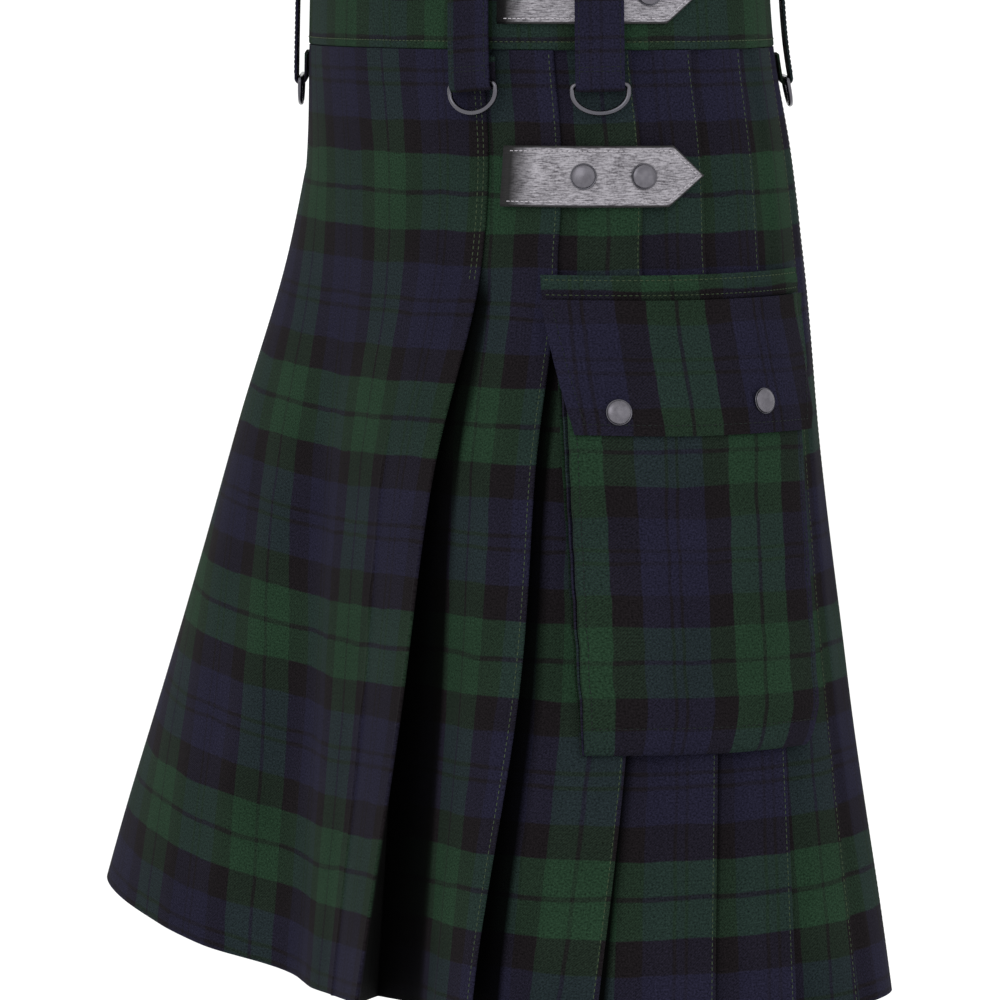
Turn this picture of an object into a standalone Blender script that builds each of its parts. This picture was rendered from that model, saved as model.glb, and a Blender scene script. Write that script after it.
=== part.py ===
"""Utility kilt in tartan wool, filled out as if worn.

Frame: +Z up, the wearer faces -Y and their left is +X. The origin is the centre of the
waistband's top edge. A place on the cloth is given by three numbers: how far down the cloth it
lies from that edge, how far round it lies from the centre front, and how far it stands out from
the body surface that the sections describe. The cloth keeps its length, so where a section
leans out the hem hangs higher. The apron is off centre: its near edge is on the wearer's left
front, its far edge at their right side, where the skirt swings out.
"""

import functools
import math

import bmesh
import bpy
import numpy as np
from mathutils import Matrix, Vector

# Driving sizes, in metres.
LENGTH = 0.610  # waistband top to hem, along the cloth
BAND_HEIGHT = 0.055
FELL = 0.170  # the pleats are stitched down this far
CLOTH = 0.0010
BAND = 0.0030
SEAM_GAP = 0.0003
SEAT_GAP = 0.0008  # under a piece that lies over the pleats, which bend between their rows

# The body surface, a row for each section from the waist down. "square" is the exponent of the
# front half's superellipse, 2 for an ellipse. "near" and "far" are the places round of the
# apron's two edges.
SECTION_COLUMNS = ("down", "side", "front", "back", "square", "near", "far")
SECTIONS = (
    (0.000, 0.172, 0.114, 0.119, 2.1, 0.115, 0.225),
    (0.055, 0.174, 0.115, 0.124, 2.1, 0.119, 0.230),
    (0.120, 0.179, 0.113, 0.137, 2.2, 0.1245, 0.238),
    (0.180, 0.186, 0.113, 0.144, 2.4, 0.125, 0.245),
    (0.300, 0.206, 0.124, 0.148, 3.0, 0.1195, 0.255),
    (0.450, 0.238, 0.133, 0.152, 3.8, 0.127, 0.275),
    (0.610, 0.276, 0.143, 0.168, 4.6, 0.128, 0.295),
)
BACK_SQUARE = 2.15
SWING, SWING_TOP, SWING_POWER = 0.038, 0.130, 0.85  # the far side swings out, most at the hem
SWING_ROUND = 0.14  # it is whole this far round from the centre front
SWING_BACK = 0.35  # and dies out over this share of its half at the back

# Knife pleats of each half, from the apron's edge to the centre back, as (the widths that the
# pleat shows at PLEAT_DOWN, how far its fold stands out at the hem).
PLEAT_DOWN = (0.170, 0.370, 0.610)
NEAR_PLEATS = (
    ((0.0485, 0.0765, 0.0860), 0.0160),
    ((0.0475, 0.0560, 0.0660), 0.0105),
    ((0.0400, 0.0510, 0.0670), 0.0105),
    ((0.0420, 0.0440, 0.0520), 0.0105),
    ((0.0500, 0.0470, 0.0520), 0.0105),
    ((0.0430, 0.0530, 0.0660), 0.0105),
    ((0.0400, 0.0520, 0.0720), 0.0105),
    ((0.0390, 0.0525, 0.0730), 0.0105),
    ((0.0360, 0.0540, 0.0745), 0.0105),
)
FAR_PLEATS = (
    ((0.048, 0.067, 0.085), 0.0105),
    ((0.045, 0.060, 0.075), 0.0105),
    ((0.045, 0.059, 0.072), 0.0105),
    ((0.044, 0.057, 0.070), 0.0105),
    ((0.042, 0.057, 0.072), 0.0105),
    ((0.041, 0.058, 0.076), 0.0105),
)
NEAR_SIDE, FAR_SIDE = 4, 3  # folds in each side piece, the rest are in the back pieces
LAYER = 0.0014  # from one layer of a pleat to the next
FOLD_RADIUS = LAYER / 2
PLEAT_UNDER = 0.50  # how much of a pleat's width its fold takes back underneath
APRON_UNDER = 0.042
PLEAT_STEP_TOP, PLEAT_STEP_HIP, PLEAT_STEP_HEM = 0.0028, 0.0030, 0.0105
# How far each edge of the apron stands out, by places down, and the flare that leads to it, as
# (its width, its exponent).
EDGE_DOWN = (0.055, 0.190, 0.300, 0.450, 0.610)
NEAR_EDGE_OUT = (0.0028, 0.0034, 0.0100, 0.0220, 0.0360)
FAR_EDGE_OUT = (0.0028, 0.0032, 0.0070, 0.0130, 0.0200)
NEAR_FLARE, FAR_FLARE = (0.18, 1.3), (0.17, 1.5)
VALLEY = 0.003  # a pleat's face lies on the body surface this far past the fold before it
UNDER_EDGE = 0.002  # and starts to rise this far before the hidden fold under its own
RISE_SHARE = 0.25  # how much of the step it has risen there

CLOTH_ROWS = (0.110, 0.170, 0.200, 0.240, 0.300, 0.370, 0.450, 0.530)  # from waist seam to hem
APRON_COLUMNS = 8, 14  # across its near part and its far part

# Belt loops, by the angle of their place on the waist section, from the side line to the back.
LOOP_PLACES = (
    ("front_left", 1, -51.0),
    ("side_left", 1, -19.5),
    ("back_left", 1, 56.0),
    ("back_centre", 1, 90.0),
    ("back_right", -1, 56.0),
    ("side_right", -1, -19.5),
    ("front_right", -1, -51.0),
)
LOOP_WIDTH, LOOP_THICK = 0.0280, 0.0020
LOOP_OUT = 0.0109  # its outer strap, clear of a belt
LOOP_FLAT = (0.012, 0.055)  # it stands off by that much between these places down
LOOP_END = 0.060  # its end is sewn down behind the strap
LOOP_ROOT = ((0.0008, 0.0), (0.0026, 0.0014), (0.0044, 0.0040))  # down, out from the band
BAR_DOWN, BAR_OUT = 0.0750, 0.0079  # the bar of the ring that the loop's end folds round
WIRE = 0.0015  # radius
WIRE_PLAY = 0.0005  # between the ring's bar and the loop's fold
RING_CHEEK = 0.0040  # straight length at each end of the bar
RING_HALF_WIDTH, RING_DEPTH = 0.0160, 0.0160

# Leather straps: middle line's place down the cloth, start round from the centre front, length.
STRAPS = (
    # name, down, start, length, out
    ("strap_upper", 0.0228, 0.1297, 0.1165, 0.0036),
    ("strap_lower", 0.1271, 0.1360, 0.1165, 0.0036),
)
POINT_WIDTH = 0.003  # a strap's pointed end, where its edges meet
STRAP_WIDTH, STRAP_THICK, STRAP_POINT = 0.035, 0.0022, 0.0205

# Pocket, measured from the side line (the section's widest point), to the back positive.
POCKET_TOP, WELT_HEIGHT = 0.1835, 0.0145
FLAP_TOP, FLAP_BOTTOM = 0.1985, 0.2770
BAG_TOP, BAG_BOTTOM = 0.2080, 0.4560
FLAP_SPAN_TOP, FLAP_SPAN_BOTTOM = (-0.080, 0.094), (-0.0690, 0.0715)
BAG_SPAN_TOP, BAG_SPAN_BOTTOM = (-0.0665, 0.070), (-0.083, 0.052)
GUSSET = (0.0080, 0.0025)  # width of each side's gusset at the bag's top and at its bottom
POCKET_COLUMNS = 17
GUSSET_COLUMNS = ((1.0, 0.0), (0.8, 0.45), (0.3, 0.66))  # share of the gusset, of the depth
FACE_EDGE = 0.9  # the share of the depth where the face meets its gussets
FACE_INSET = 0.06  # the face is level from this share of its width inwards
FACE_COLUMNS = 9
BAG_DEPTH = 0.0125
FOOT_ROLL = 0.022  # the face rounds in to the pleats over this height at the bag's foot
SWELL_DOWN = 0.265  # the bag reaches its whole depth here
FLAP_GAP = 0.0012
FLAP_REACH = (-0.010, -0.005, 0.0, 0.005, 0.010)  # the flap clears the bag this far to each side
BAG_MOUTH = 0.35  # the mouth's depth as a share of the bag's
BAG_ROWS = (0.240, 0.330, 0.426, 0.440, 0.449, 0.454)
FLAP_ROWS = (0.225, 0.240, 0.262)
BRIDGE_SHARE, BRIDGE_HEIGHT = 0.5, 0.04  # the flap's height over a gusset, and where it gets there

SNAP_RADIUS, SNAP_HEIGHT = 0.0075, 0.0026
SNAP_RIM, SNAP_SHOULDER = 0.0008, 0.0015
SNAP_STEPS = 16
SNAP_UPPER_ALONG = 0.085  # each from its strap's start
SNAP_LOWER_ALONG = (0.048, 0.080)
FLAP_SNAPS = (
    # name, down, from the side line, over the flap
    ("snap_flap_front", 0.2638, -0.0477, 0.0004),
    ("snap_flap_back", 0.2588, 0.0345, 0.0008),
)

ROWS_FINE, ANGLES = 62, 181


def clear_scene():
    for old in list(bpy.data.objects):
        bpy.data.objects.remove(old)


def material(name, colour, roughness, metallic=0.0):
    made = bpy.data.materials.new(name)
    made.use_nodes = True
    shader = made.node_tree.nodes["Principled BSDF"]
    shader.inputs["Base Color"].default_value = (*colour, 1.0)
    shader.inputs["Roughness"].default_value = roughness
    shader.inputs["Metallic"].default_value = metallic
    return made


# The body surface


def column(rows, columns, name):
    return np.array([row[columns.index(name)] for row in rows], float)


def smooth_column(name, down):
    """One column of the sections at the given places, by cubic interpolation through its rows."""
    knots = column(SECTIONS, SECTION_COLUMNS, "down")
    values = column(SECTIONS, SECTION_COLUMNS, name)
    slopes = np.gradient(values, knots)
    low = np.clip(np.searchsorted(knots, down, side="right") - 1, 0, len(knots) - 2)
    span = knots[low + 1] - knots[low]
    t = (down - knots[low]) / span
    return (
        (2 * t**3 - 3 * t**2 + 1) * values[low]
        + (t**3 - 2 * t**2 + t) * span * slopes[low]
        + (3 * t**2 - 2 * t**3) * values[low + 1]
        + (t**3 - t**2) * span * slopes[low + 1]
    )


def body_tables():
    """Points, outward normals and distances round, on a grid of places down and angles.

    The angle runs from -90 degrees at the centre front to +90 at the centre back, on the
    wearer's left. Each height is summed along the cloth from its lean.
    """
    down = np.linspace(0, LENGTH, ROWS_FINE)
    angle = np.linspace(-math.pi / 2, math.pi / 2, ANGLES)
    side, front, back, square = (
        smooth_column(name, down)[:, None] for name in ("side", "front", "back", "square")
    )
    power = np.where(angle < 0, 2 / square, 2 / BACK_SQUARE)
    x = side * np.clip(np.cos(angle), 0, 1) ** power
    y = np.where(angle < 0, front, back) * np.sign(angle) * np.abs(np.sin(angle)) ** power
    lean = np.gradient(x, down, axis=0) ** 2 + np.gradient(y, down, axis=0) ** 2
    fall = np.sqrt(np.clip(1 - lean, 0.2, 1))
    z = np.zeros_like(x)
    z[1:] = -np.cumsum((fall[1:] + fall[:-1]) / 2 * np.diff(down)[:, None], axis=0)
    points = np.stack([x, y, z], axis=-1)
    around = np.gradient(points, axis=1)
    around[:, 0] = around[:, -1] = (1.0, 0.0, 0.0)
    around[:, -1] *= -1
    along = np.gradient(points, axis=0)
    normals = np.cross(along, around)
    normals /= np.linalg.norm(normals, axis=-1, keepdims=True)
    steps = np.linalg.norm(np.diff(points[..., :2], axis=1), axis=-1)
    distance = np.zeros_like(x)
    distance[:, 1:] = np.cumsum(steps, axis=1)
    return down, angle, points, normals, distance


DOWN, ANGLE, POINTS, NORMALS, DISTANCE = body_tables()
SIDE_LINE = ANGLES // 2


def smooth_step(t):
    t = np.clip(t, 0, 1)
    return t * t * (3 - 2 * t)


def swing(down, signed, half):
    """How far the far side swings out from its section."""
    grown = np.clip((down - SWING_TOP) / (LENGTH - SWING_TOP), 0, 1) ** SWING_POWER
    round_front = smooth_step(-signed / SWING_ROUND)
    return SWING * grown * round_front * smooth_step((half - abs(signed)) / (SWING_BACK * half))


def at_down(table, down):
    """The row of a table at one place down the cloth."""
    place = np.clip(down / LENGTH * (ROWS_FINE - 1), 0, ROWS_FINE - 1)
    low = int(min(place, ROWS_FINE - 2))
    return table[low] + (place - low) * (table[low + 1] - table[low])


def on_cloth(down, around, out, with_normal=False):
    """World points for one place down and many distances round and out.

    Distances round are signed: positive on the wearer's left, negative on the right. Past the
    centre back they come round onto the other half.
    """
    around, out = np.broadcast_arrays(np.asarray(around, float), np.asarray(out, float))
    distances, points, normals = (at_down(t, down) for t in (DISTANCE, POINTS, NORMALS))
    half = distances[-1]
    wrapped = (around + half) % (2 * half) - half
    across = np.sign(wrapped) + (wrapped == 0)
    place = np.stack([np.interp(abs(wrapped), distances, points[:, k]) for k in range(3)], -1)
    normal = np.stack([np.interp(abs(wrapped), distances, normals[:, k]) for k in range(3)], -1)
    place[..., 0] *= across
    normal[..., 0] *= across
    normal /= np.linalg.norm(normal, axis=-1, keepdims=True)
    world = place + normal * (out + swing(down, wrapped, half))[..., None]
    return (world, normal) if with_normal else world


def half_round(down):
    return float(at_down(DISTANCE, down)[-1])


def side_round(down):
    return float(at_down(DISTANCE, down)[SIDE_LINE])


# Solids


def finish(name, mesh, look, smooth_degrees=40):
    mesh.materials.append(look)
    made = bpy.data.objects.new(name, mesh)
    bpy.context.scene.collection.objects.link(made)
    mesh.shade_smooth()
    mesh.set_sharp_from_angle(angle=math.radians(smooth_degrees))
    return made


def wall(name, outer, inner, look, closed_round=False):
    """A closed wall from two grids of points of one shape, rows down and columns round."""
    rows, columns = outer.shape[:2]
    count = rows * columns
    index = np.arange(count).reshape(rows, columns)
    faces = []
    last = columns if closed_round else columns - 1
    for r in range(rows - 1):
        for c in range(last):
            d = (c + 1) % columns
            a, b, e, f = index[r, c], index[r, d], index[r + 1, d], index[r + 1, c]
            faces.append((a, f, e, b))
            faces.append((a + count, b + count, e + count, f + count))
    for r, turned in ((0, False), (rows - 1, True)):
        for c in range(last):
            a, b = index[r, c], index[r, (c + 1) % columns]
            rim = (a, b, b + count, a + count)
            faces.append(rim[::-1] if turned else rim)
    if not closed_round:
        for c, turned in ((0, True), (columns - 1, False)):
            for r in range(rows - 1):
                a, b = index[r, c], index[r + 1, c]
                rim = (a, b, b + count, a + count)
                faces.append(rim[::-1] if turned else rim)
    mesh = bpy.data.meshes.new(name)
    vertices = np.concatenate([outer.reshape(-1, 3), inner.reshape(-1, 3)])
    mesh.from_pydata(vertices.tolist(), [], [tuple(int(i) for i in face) for face in faces])
    shaped = bmesh.new()
    shaped.from_mesh(mesh)
    bmesh.ops.recalc_face_normals(shaped, faces=shaped.faces)
    if shaped.calc_volume(signed=True) < 0:
        bmesh.ops.reverse_faces(shaped, faces=shaped.faces)
    shaped.to_mesh(mesh)
    shaped.free()
    return finish(name, mesh, look)


def two_sides(path, thick):
    """A path of (along, out) pairs moved half a thickness to each side, mitred at its turns."""
    path = np.asarray(path, float)
    steps = np.diff(path, axis=0)
    steps /= np.linalg.norm(steps, axis=1, keepdims=True)
    before = np.vstack([steps[:1], steps])
    after = np.vstack([steps, steps[-1:]])
    middle = before + after
    middle /= np.linalg.norm(middle, axis=1, keepdims=True)
    reach = thick / 2 / np.clip(np.sum(middle * before, axis=1), 0.6, 1)
    sideways = np.stack([-middle[:, 1], middle[:, 0]], axis=1) * reach[:, None]
    return path + sideways, path - sideways


# The skirt


def blend(down, top, hip, hem):
    """A size that goes from its value at the waist seam to the fell's and then to the hem's."""
    if down < FELL:
        return top + (hip - top) * (down - BAND_HEIGHT) / (FELL - BAND_HEIGHT)
    t = (down - FELL) / (LENGTH - FELL)
    return hip + (hem - hip) * t


def fold_places(down, far=False):
    """Distance round of each fold of one half, the apron's edge first, the centre back last."""
    edge = float(smooth_column("far" if far else "near", np.array([down]))[0])
    room = half_round(down) - edge
    pleats = FAR_PLEATS if far else NEAR_PLEATS
    shares = np.array([np.interp(down, PLEAT_DOWN, widths) for widths, _ in pleats])
    return edge + np.concatenate([[0], np.cumsum(shares) / shares.sum() * room])


def fold_top(down, k, far=False):
    """How far fold k stands out. Fold 0 is the apron's edge."""
    if k == 0:
        return float(np.interp(down, EDGE_DOWN, FAR_EDGE_OUT if far else NEAR_EDGE_OUT))
    _, hem = (FAR_PLEATS if far else NEAR_PLEATS)[k - 1]
    return blend(down, PLEAT_STEP_TOP, PLEAT_STEP_HIP, hem)


def fold_levels(down, k, far=False):
    """A fold's tip and its hidden fold, as (round, out) of the middles of their turns."""
    places = fold_places(down, far)
    under = APRON_UNDER if k == 0 else PLEAT_UNDER * (places[k] - places[k - 1])
    tip = places[k] - FOLD_RADIUS, fold_top(down, k, far) - FOLD_RADIUS
    return tip, (places[k] - under + FOLD_RADIUS, FOLD_RADIUS)


def fold_turn(centre, towards):
    """Points of a fold's half circle, over its top when towards is 1 and under when it is -1."""
    angles = np.radians((90, 0, -90))
    round_part = centre[0] + towards * FOLD_RADIUS * np.cos(angles)
    return list(zip(round_part, centre[1] + FOLD_RADIUS * np.sin(angles)))


def under_start(down, k, far=False):
    """The path from half way along the under-layer of fold k to its hidden fold's turn."""
    tip, deep = fold_levels(down, k, far)
    middle = (tip[0] + deep[0]) / 2, (tip[1] + deep[1]) / 2
    return [(middle[0] - SEAM_GAP / 2, middle[1])] + fold_turn(deep, -1)


def half_path(down, first, last, far=False):
    """The cloth's path of one half as (round, out), from the under-layer of fold `first`.

    The path starts half way along that under-layer and ends half way along that of fold `last`.
    """
    places = fold_places(down, far)
    path = under_start(down, first, far)
    for k in range(first + 1, last + 1):
        top = fold_top(down, k, far)
        tip, deep = fold_levels(down, k, far)
        middle = (tip[0] + deep[0]) / 2, (tip[1] + deep[1]) / 2
        rise = 2 * LAYER + RISE_SHARE * (top - 2 * LAYER)
        path.append((places[k - 1] + VALLEY, 0.0))
        path.append((deep[0] - UNDER_EDGE, rise))
        path.append((middle[0], (rise + top) / 2))
        path += fold_turn(tip, 1)
        if k == last:
            path.append((middle[0] + SEAM_GAP / 2, middle[1]))
        else:
            path.append(middle)
            path += fold_turn(deep, -1)
    return path


def apron_out(down, signed):
    """How far the apron's face stands out, level in its middle and flared to both edges."""
    out = np.full(len(signed), 2 * LAYER)
    for far, (width, power) in ((False, NEAR_FLARE), (True, FAR_FLARE)):
        edge = fold_places(down, far)[0]
        t = np.clip((np.where(far, -signed, signed) - (edge - width)) / width, 0, 1)
        out += (fold_top(down, 0, far) - 2 * LAYER) * t**power
    return out


def apron_half(down, columns, far):
    """The apron from its centre line out over one edge, to half way along its under-layer."""
    tip, deep = fold_levels(down, 0, far)
    middle = (tip[0] + deep[0]) / 2, (tip[1] + deep[1]) / 2
    flat = np.append(np.linspace(0, deep[0] - UNDER_EDGE, columns), middle[0])
    level = apron_out(down, -flat if far else flat)
    path = list(zip(flat, level)) + fold_turn(tip, 1)
    return path + [(middle[0] + SEAM_GAP / 2, middle[1])]


def apron_path(down):
    near_columns, far_columns = APRON_COLUMNS
    mirrored = [(-a, o) for a, o in apron_half(down, far_columns, True)[:0:-1]]
    return mirrored + apron_half(down, near_columns, False)


def back_centre_path(down):
    """From the under-layer of the last near fold over the centre back to that of the far one."""
    ends = []
    for far, pleats in ((False, NEAR_PLEATS), (True, FAR_PLEATS)):
        places = fold_places(down, far)
        path = under_start(down, len(pleats) - 1, far)
        path += [(places[-2] + VALLEY, 0.0), ((places[-2] + places[-1]) / 2, 0.0)]
        ends.append(path)
    near, beyond = ends
    around = 2 * half_round(down)
    return near + [(around / 2, 0.0)] + [(around - a, o) for a, o in beyond[::-1]]


def skirt_piece(name, path_at, look, mirror=1):
    outer, inner = [], []
    for down in (BAND_HEIGHT + SEAM_GAP, *CLOTH_ROWS, LENGTH):
        sides = two_sides(path_at(down), CLOTH)
        for rows, side in zip((outer, inner), sides):
            rows.append(on_cloth(down, mirror * side[:, 0], side[:, 1]))
    return wall(name, np.array(outer), np.array(inner), look)


def skirt(look):
    skirt_piece("apron", apron_path, look)
    skirt_piece("pleats_back_centre", back_centre_path, look)
    for name, first, last, far in (
        ("pleats_left", 0, NEAR_SIDE, False),
        ("pleats_back_left", NEAR_SIDE, len(NEAR_PLEATS) - 1, False),
        ("pleats_right", 0, FAR_SIDE, True),
        ("pleats_back_right", FAR_SIDE, len(FAR_PLEATS) - 1, True),
    ):
        path = functools.partial(half_path, first=first, last=last, far=far)
        skirt_piece(name, path, look, -1 if far else 1)


def waistband(look):
    columns = 72
    outer, inner = [], []
    for down in (0.0, BAND_HEIGHT / 2, BAND_HEIGHT):
        around = np.arange(columns) / columns * 2 * half_round(down)
        outer.append(on_cloth(down, around, SEAM_GAP * 2 + BAND))
        inner.append(on_cloth(down, around, SEAM_GAP * 2))
    wall("waistband", np.array(outer), np.array(inner), look, closed_round=True)


# Belt loops and rings


def round_at(down, side, degrees):
    """Signed distance round of a place given by its side and its angle on the section."""
    return side * float(np.interp(math.radians(degrees), ANGLE, at_down(DISTANCE, down)))


def loop_path():
    """(down, out) along a loop, from the band's top, over the belt's room, round the bar."""
    seat = SEAM_GAP * 3 + BAND + LOOP_THICK / 2
    turn = WIRE + WIRE_PLAY + LOOP_THICK / 2
    path = [(down, seat + rise) for down, rise in LOOP_ROOT]
    path += [(down, LOOP_OUT) for down in LOOP_FLAT]
    for degrees in (90, 45, 0, -45, -90):
        angle = math.radians(degrees)
        path.append((BAR_DOWN + turn * math.cos(angle), BAR_OUT + turn * math.sin(angle)))
    path.append((LOOP_END, BAR_OUT - turn))
    return path


def loop(name, side, degrees, look):
    """A loop, flat across its width, so that the ring's straight bar lies in its fold."""
    bar = np.array(ring_frame(side, degrees)[1])
    across = np.linspace(-LOOP_WIDTH / 2, LOOP_WIDTH / 2, 3)[:, None] * bar
    grids = [
        np.array([on_cloth(d, round_at(d, side, degrees), o) + across for d, o in face])
        for face in two_sides(loop_path(), LOOP_THICK)
    ]
    return wall(name, *grids, look)


def ring_frame(side, degrees):
    """A ring's origin, at the middle of its bar, and its axes along the bar and down."""
    around = round_at(BAR_DOWN, side, degrees)
    origin, normal = on_cloth(BAR_DOWN, around, BAR_OUT, with_normal=True)
    lower = BAR_DOWN + RING_DEPTH
    below = on_cloth(lower, round_at(lower, side, degrees), BAR_OUT)
    down = Vector(below - origin).normalized()
    bar = Vector(normal).cross(down).normalized()
    return Vector(origin), bar, down


def ring_outline():
    """A D: the bar, two short straight cheeks and a half ellipse, in its own plane."""
    bow = RING_DEPTH - RING_CHEEK
    points = [(-RING_HALF_WIDTH, 0.0), (0.0, 0.0), (RING_HALF_WIDTH, 0.0)]
    for degrees in range(0, 181, 15):
        angle = math.radians(degrees)
        points.append((RING_HALF_WIDTH * math.cos(angle), RING_CHEEK + bow * math.sin(angle)))
    return points


def ring(name, side, degrees, look):
    curve = bpy.data.curves.new(name, "CURVE")
    curve.dimensions = "3D"
    curve.bevel_depth = WIRE
    curve.bevel_resolution = 2
    spline = curve.splines.new("POLY")
    points = ring_outline()
    spline.points.add(len(points) - 1)
    for point, (across, down) in zip(spline.points, points):
        point.co = (across, down, 0.0, 1.0)
    spline.use_cyclic_u = True
    curve.materials.append(look)
    made = bpy.data.objects.new(name, curve)
    bpy.context.scene.collection.objects.link(made)
    origin, bar, down = ring_frame(side, degrees)
    turn = Matrix((bar, down, bar.cross(down))).transposed()
    made.matrix_world = Matrix.Translation(origin) @ turn.to_4x4()
    return made


def loops_and_rings(cloth_look, metal_look):
    for place, side, degrees in LOOP_PLACES:
        loop(f"loop_{place}", side, degrees, cloth_look)
        ring(f"dring_{place}", side, degrees, metal_look)


# Straps, pocket and snaps


def strap(name, down, start, length, out, look):
    """A pointed strap that lies round the hip on the pleats' folds."""
    along = np.append(np.linspace(0, length - STRAP_POINT, 11), length)
    half = np.append(np.full(11, STRAP_WIDTH / 2), POINT_WIDTH / 2)
    level = np.full(len(along), out + SEAT_GAP + STRAP_THICK / 2)
    grids = [[], []]
    for share in (-1, -0.4, 0.4, 1):
        for grid, side in zip(grids, (1, -1)):
            row = [
                on_cloth(down + share * h, start + a, o + side * STRAP_THICK / 2)
                for a, h, o in zip(along, half, level)
            ]
            grid.append(np.array(row))
    return wall(name, np.array(grids[0]), np.array(grids[1]), look)


def cloth_top(down):
    """How far the pleats' folds stand out, with their cloth's own thickness and a seat's gap."""
    return blend(down, PLEAT_STEP_TOP, PLEAT_STEP_HIP, PLEAT_STEP_HEM) + CLOTH / 2 + SEAT_GAP


def span_at(down, top, bottom, span_top, span_bottom):
    t = (down - top) / (bottom - top)
    return [a + (b - a) * t for a, b in zip(span_top, span_bottom)]


def pocket_wall(name, downs, place_at, thick, look):
    """A wall over the pleats: place_at gives (from the side line, out) arrays for a place down."""
    outer, inner = [], []
    for down in downs:
        around, out = place_at(down)
        path = np.stack([side_round(down) + around, out], axis=1)
        for rows, side in zip((outer, inner), two_sides(path, thick)):
            rows.append(on_cloth(down, side[:, 0], side[:, 1]))
    return wall(name, np.array(outer), np.array(inner), look)


def bag_place(down):
    """The bag's face, its gussets sloping to the pleats at each side, and its rounded foot."""
    low, high = span_at(down, BAG_TOP, BAG_BOTTOM, BAG_SPAN_TOP, BAG_SPAN_BOTTOM)
    inside = np.linspace(FACE_INSET, 1 - FACE_INSET, FACE_COLUMNS)
    spread = np.concatenate([[0.0], inside, [1.0]])
    outwards, edge = np.array(GUSSET_COLUMNS).T
    gusset = np.interp(down, (BAG_TOP, BAG_BOTTOM), GUSSET)
    around = np.concatenate(
        [
            low - gusset * outwards,
            low + (high - low) * spread,
            high + gusset * outwards[::-1],
        ]
    )
    level = np.ones(FACE_COLUMNS)
    height = np.concatenate([edge, [FACE_EDGE], level, [FACE_EDGE], edge[::-1]])
    foot_roll = np.sqrt(np.clip((BAG_BOTTOM - down) / FOOT_ROLL, 0, 1))
    swell = np.interp(down, [BAG_TOP, SWELL_DOWN], [BAG_MOUTH, 1.0])
    return around, cloth_top(down) + CLOTH / 2 + BAG_DEPTH * height * foot_roll * swell


def bag(look):
    downs = np.array([BAG_TOP, *BAG_ROWS, BAG_BOTTOM])
    return pocket_wall("pocket_bag", downs, bag_place, CLOTH, look)


def flap_out(down, around):
    """The flap's distance out: it lies on the bag's face, moved out, and bridges its gussets."""
    at = max(down, BAG_TOP)
    bag_around, bag_out = bag_place(at)
    near_by = [np.interp(around + reach, bag_around, bag_out) for reach in FLAP_REACH]
    on_bag = np.max(near_by, axis=0) - cloth_top(at)
    risen = np.clip((down - FLAP_TOP) / BRIDGE_HEIGHT, RISE_SHARE, 1)
    bridge = BRIDGE_SHARE * BAG_DEPTH * risen
    return cloth_top(down) + np.maximum(on_bag, CLOTH / 2 + bridge) + CLOTH + FLAP_GAP


def flap_place(down):
    low, high = span_at(down, FLAP_TOP, FLAP_BOTTOM, FLAP_SPAN_TOP, FLAP_SPAN_BOTTOM)
    around = np.linspace(low, high, POCKET_COLUMNS)
    return around, flap_out(down, around)


def flap(look):
    downs = np.array([FLAP_TOP, BAG_TOP, *FLAP_ROWS, FLAP_BOTTOM])
    return pocket_wall("pocket_flap", downs, flap_place, CLOTH, look)


def welt_place(down):
    low, high = FLAP_SPAN_TOP
    around = np.linspace(low, high, POCKET_COLUMNS)
    return around, np.full(POCKET_COLUMNS, cloth_top(down) + BAND / 2)


def welt(look):
    downs = np.array([POCKET_TOP, POCKET_TOP + WELT_HEIGHT / 2, POCKET_TOP + WELT_HEIGHT])
    return pocket_wall("pocket_welt", downs, welt_place, BAND, look)


def snap(name, down, around, seat, look):
    """A domed cap turned about the cloth's normal, its flat back on the seat."""
    origin, normal = on_cloth(down, around, seat + SEAM_GAP, with_normal=True)
    profile = [(0.0, 0.0), (SNAP_RADIUS, 0.0), (SNAP_RADIUS, SNAP_RIM)]
    profile += [(SNAP_RADIUS * 0.93, SNAP_SHOULDER), (SNAP_RADIUS * 0.62, SNAP_HEIGHT * 0.85)]
    profile.append((0.0, SNAP_HEIGHT))
    shaped = bmesh.new()
    vertices = [shaped.verts.new((radius, 0.0, height)) for radius, height in profile]
    edges = [shaped.edges.new(pair) for pair in zip(vertices, vertices[1:])]
    bmesh.ops.spin(
        shaped,
        geom=vertices + edges,
        cent=(0, 0, 0),
        axis=(0, 0, 1),
        angle=2 * math.pi,
        steps=SNAP_STEPS,
        use_merge=True,
    )
    bmesh.ops.remove_doubles(shaped, verts=shaped.verts, dist=1e-5)
    bmesh.ops.recalc_face_normals(shaped, faces=shaped.faces)
    mesh = bpy.data.meshes.new(name)
    shaped.to_mesh(mesh)
    shaped.free()
    made = finish(name, mesh, look)
    turn = Vector((0, 0, 1)).rotation_difference(Vector(normal)).to_matrix()
    made.matrix_world = Matrix.Translation(Vector(origin)) @ turn.to_4x4()
    return made


def straps_and_snaps(leather, metal):
    for name, down, start, length, out in STRAPS:
        strap(name, down, start, length, out, leather)
    upper, lower = STRAPS
    for name, row, along in (
        ("snap_upper", upper, SNAP_UPPER_ALONG),
        ("snap_lower_front", lower, SNAP_LOWER_ALONG[0]),
        ("snap_lower_back", lower, SNAP_LOWER_ALONG[1]),
    ):
        _, down, start, _, out = row
        seat = out + SEAT_GAP + STRAP_THICK
        snap(name, down, start + along, seat, metal)
    for name, down, from_side, over in FLAP_SNAPS:
        seat = float(flap_out(down, from_side)) + CLOTH / 2 + over
        snap(name, down, side_round(down) + from_side, seat, metal)


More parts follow.
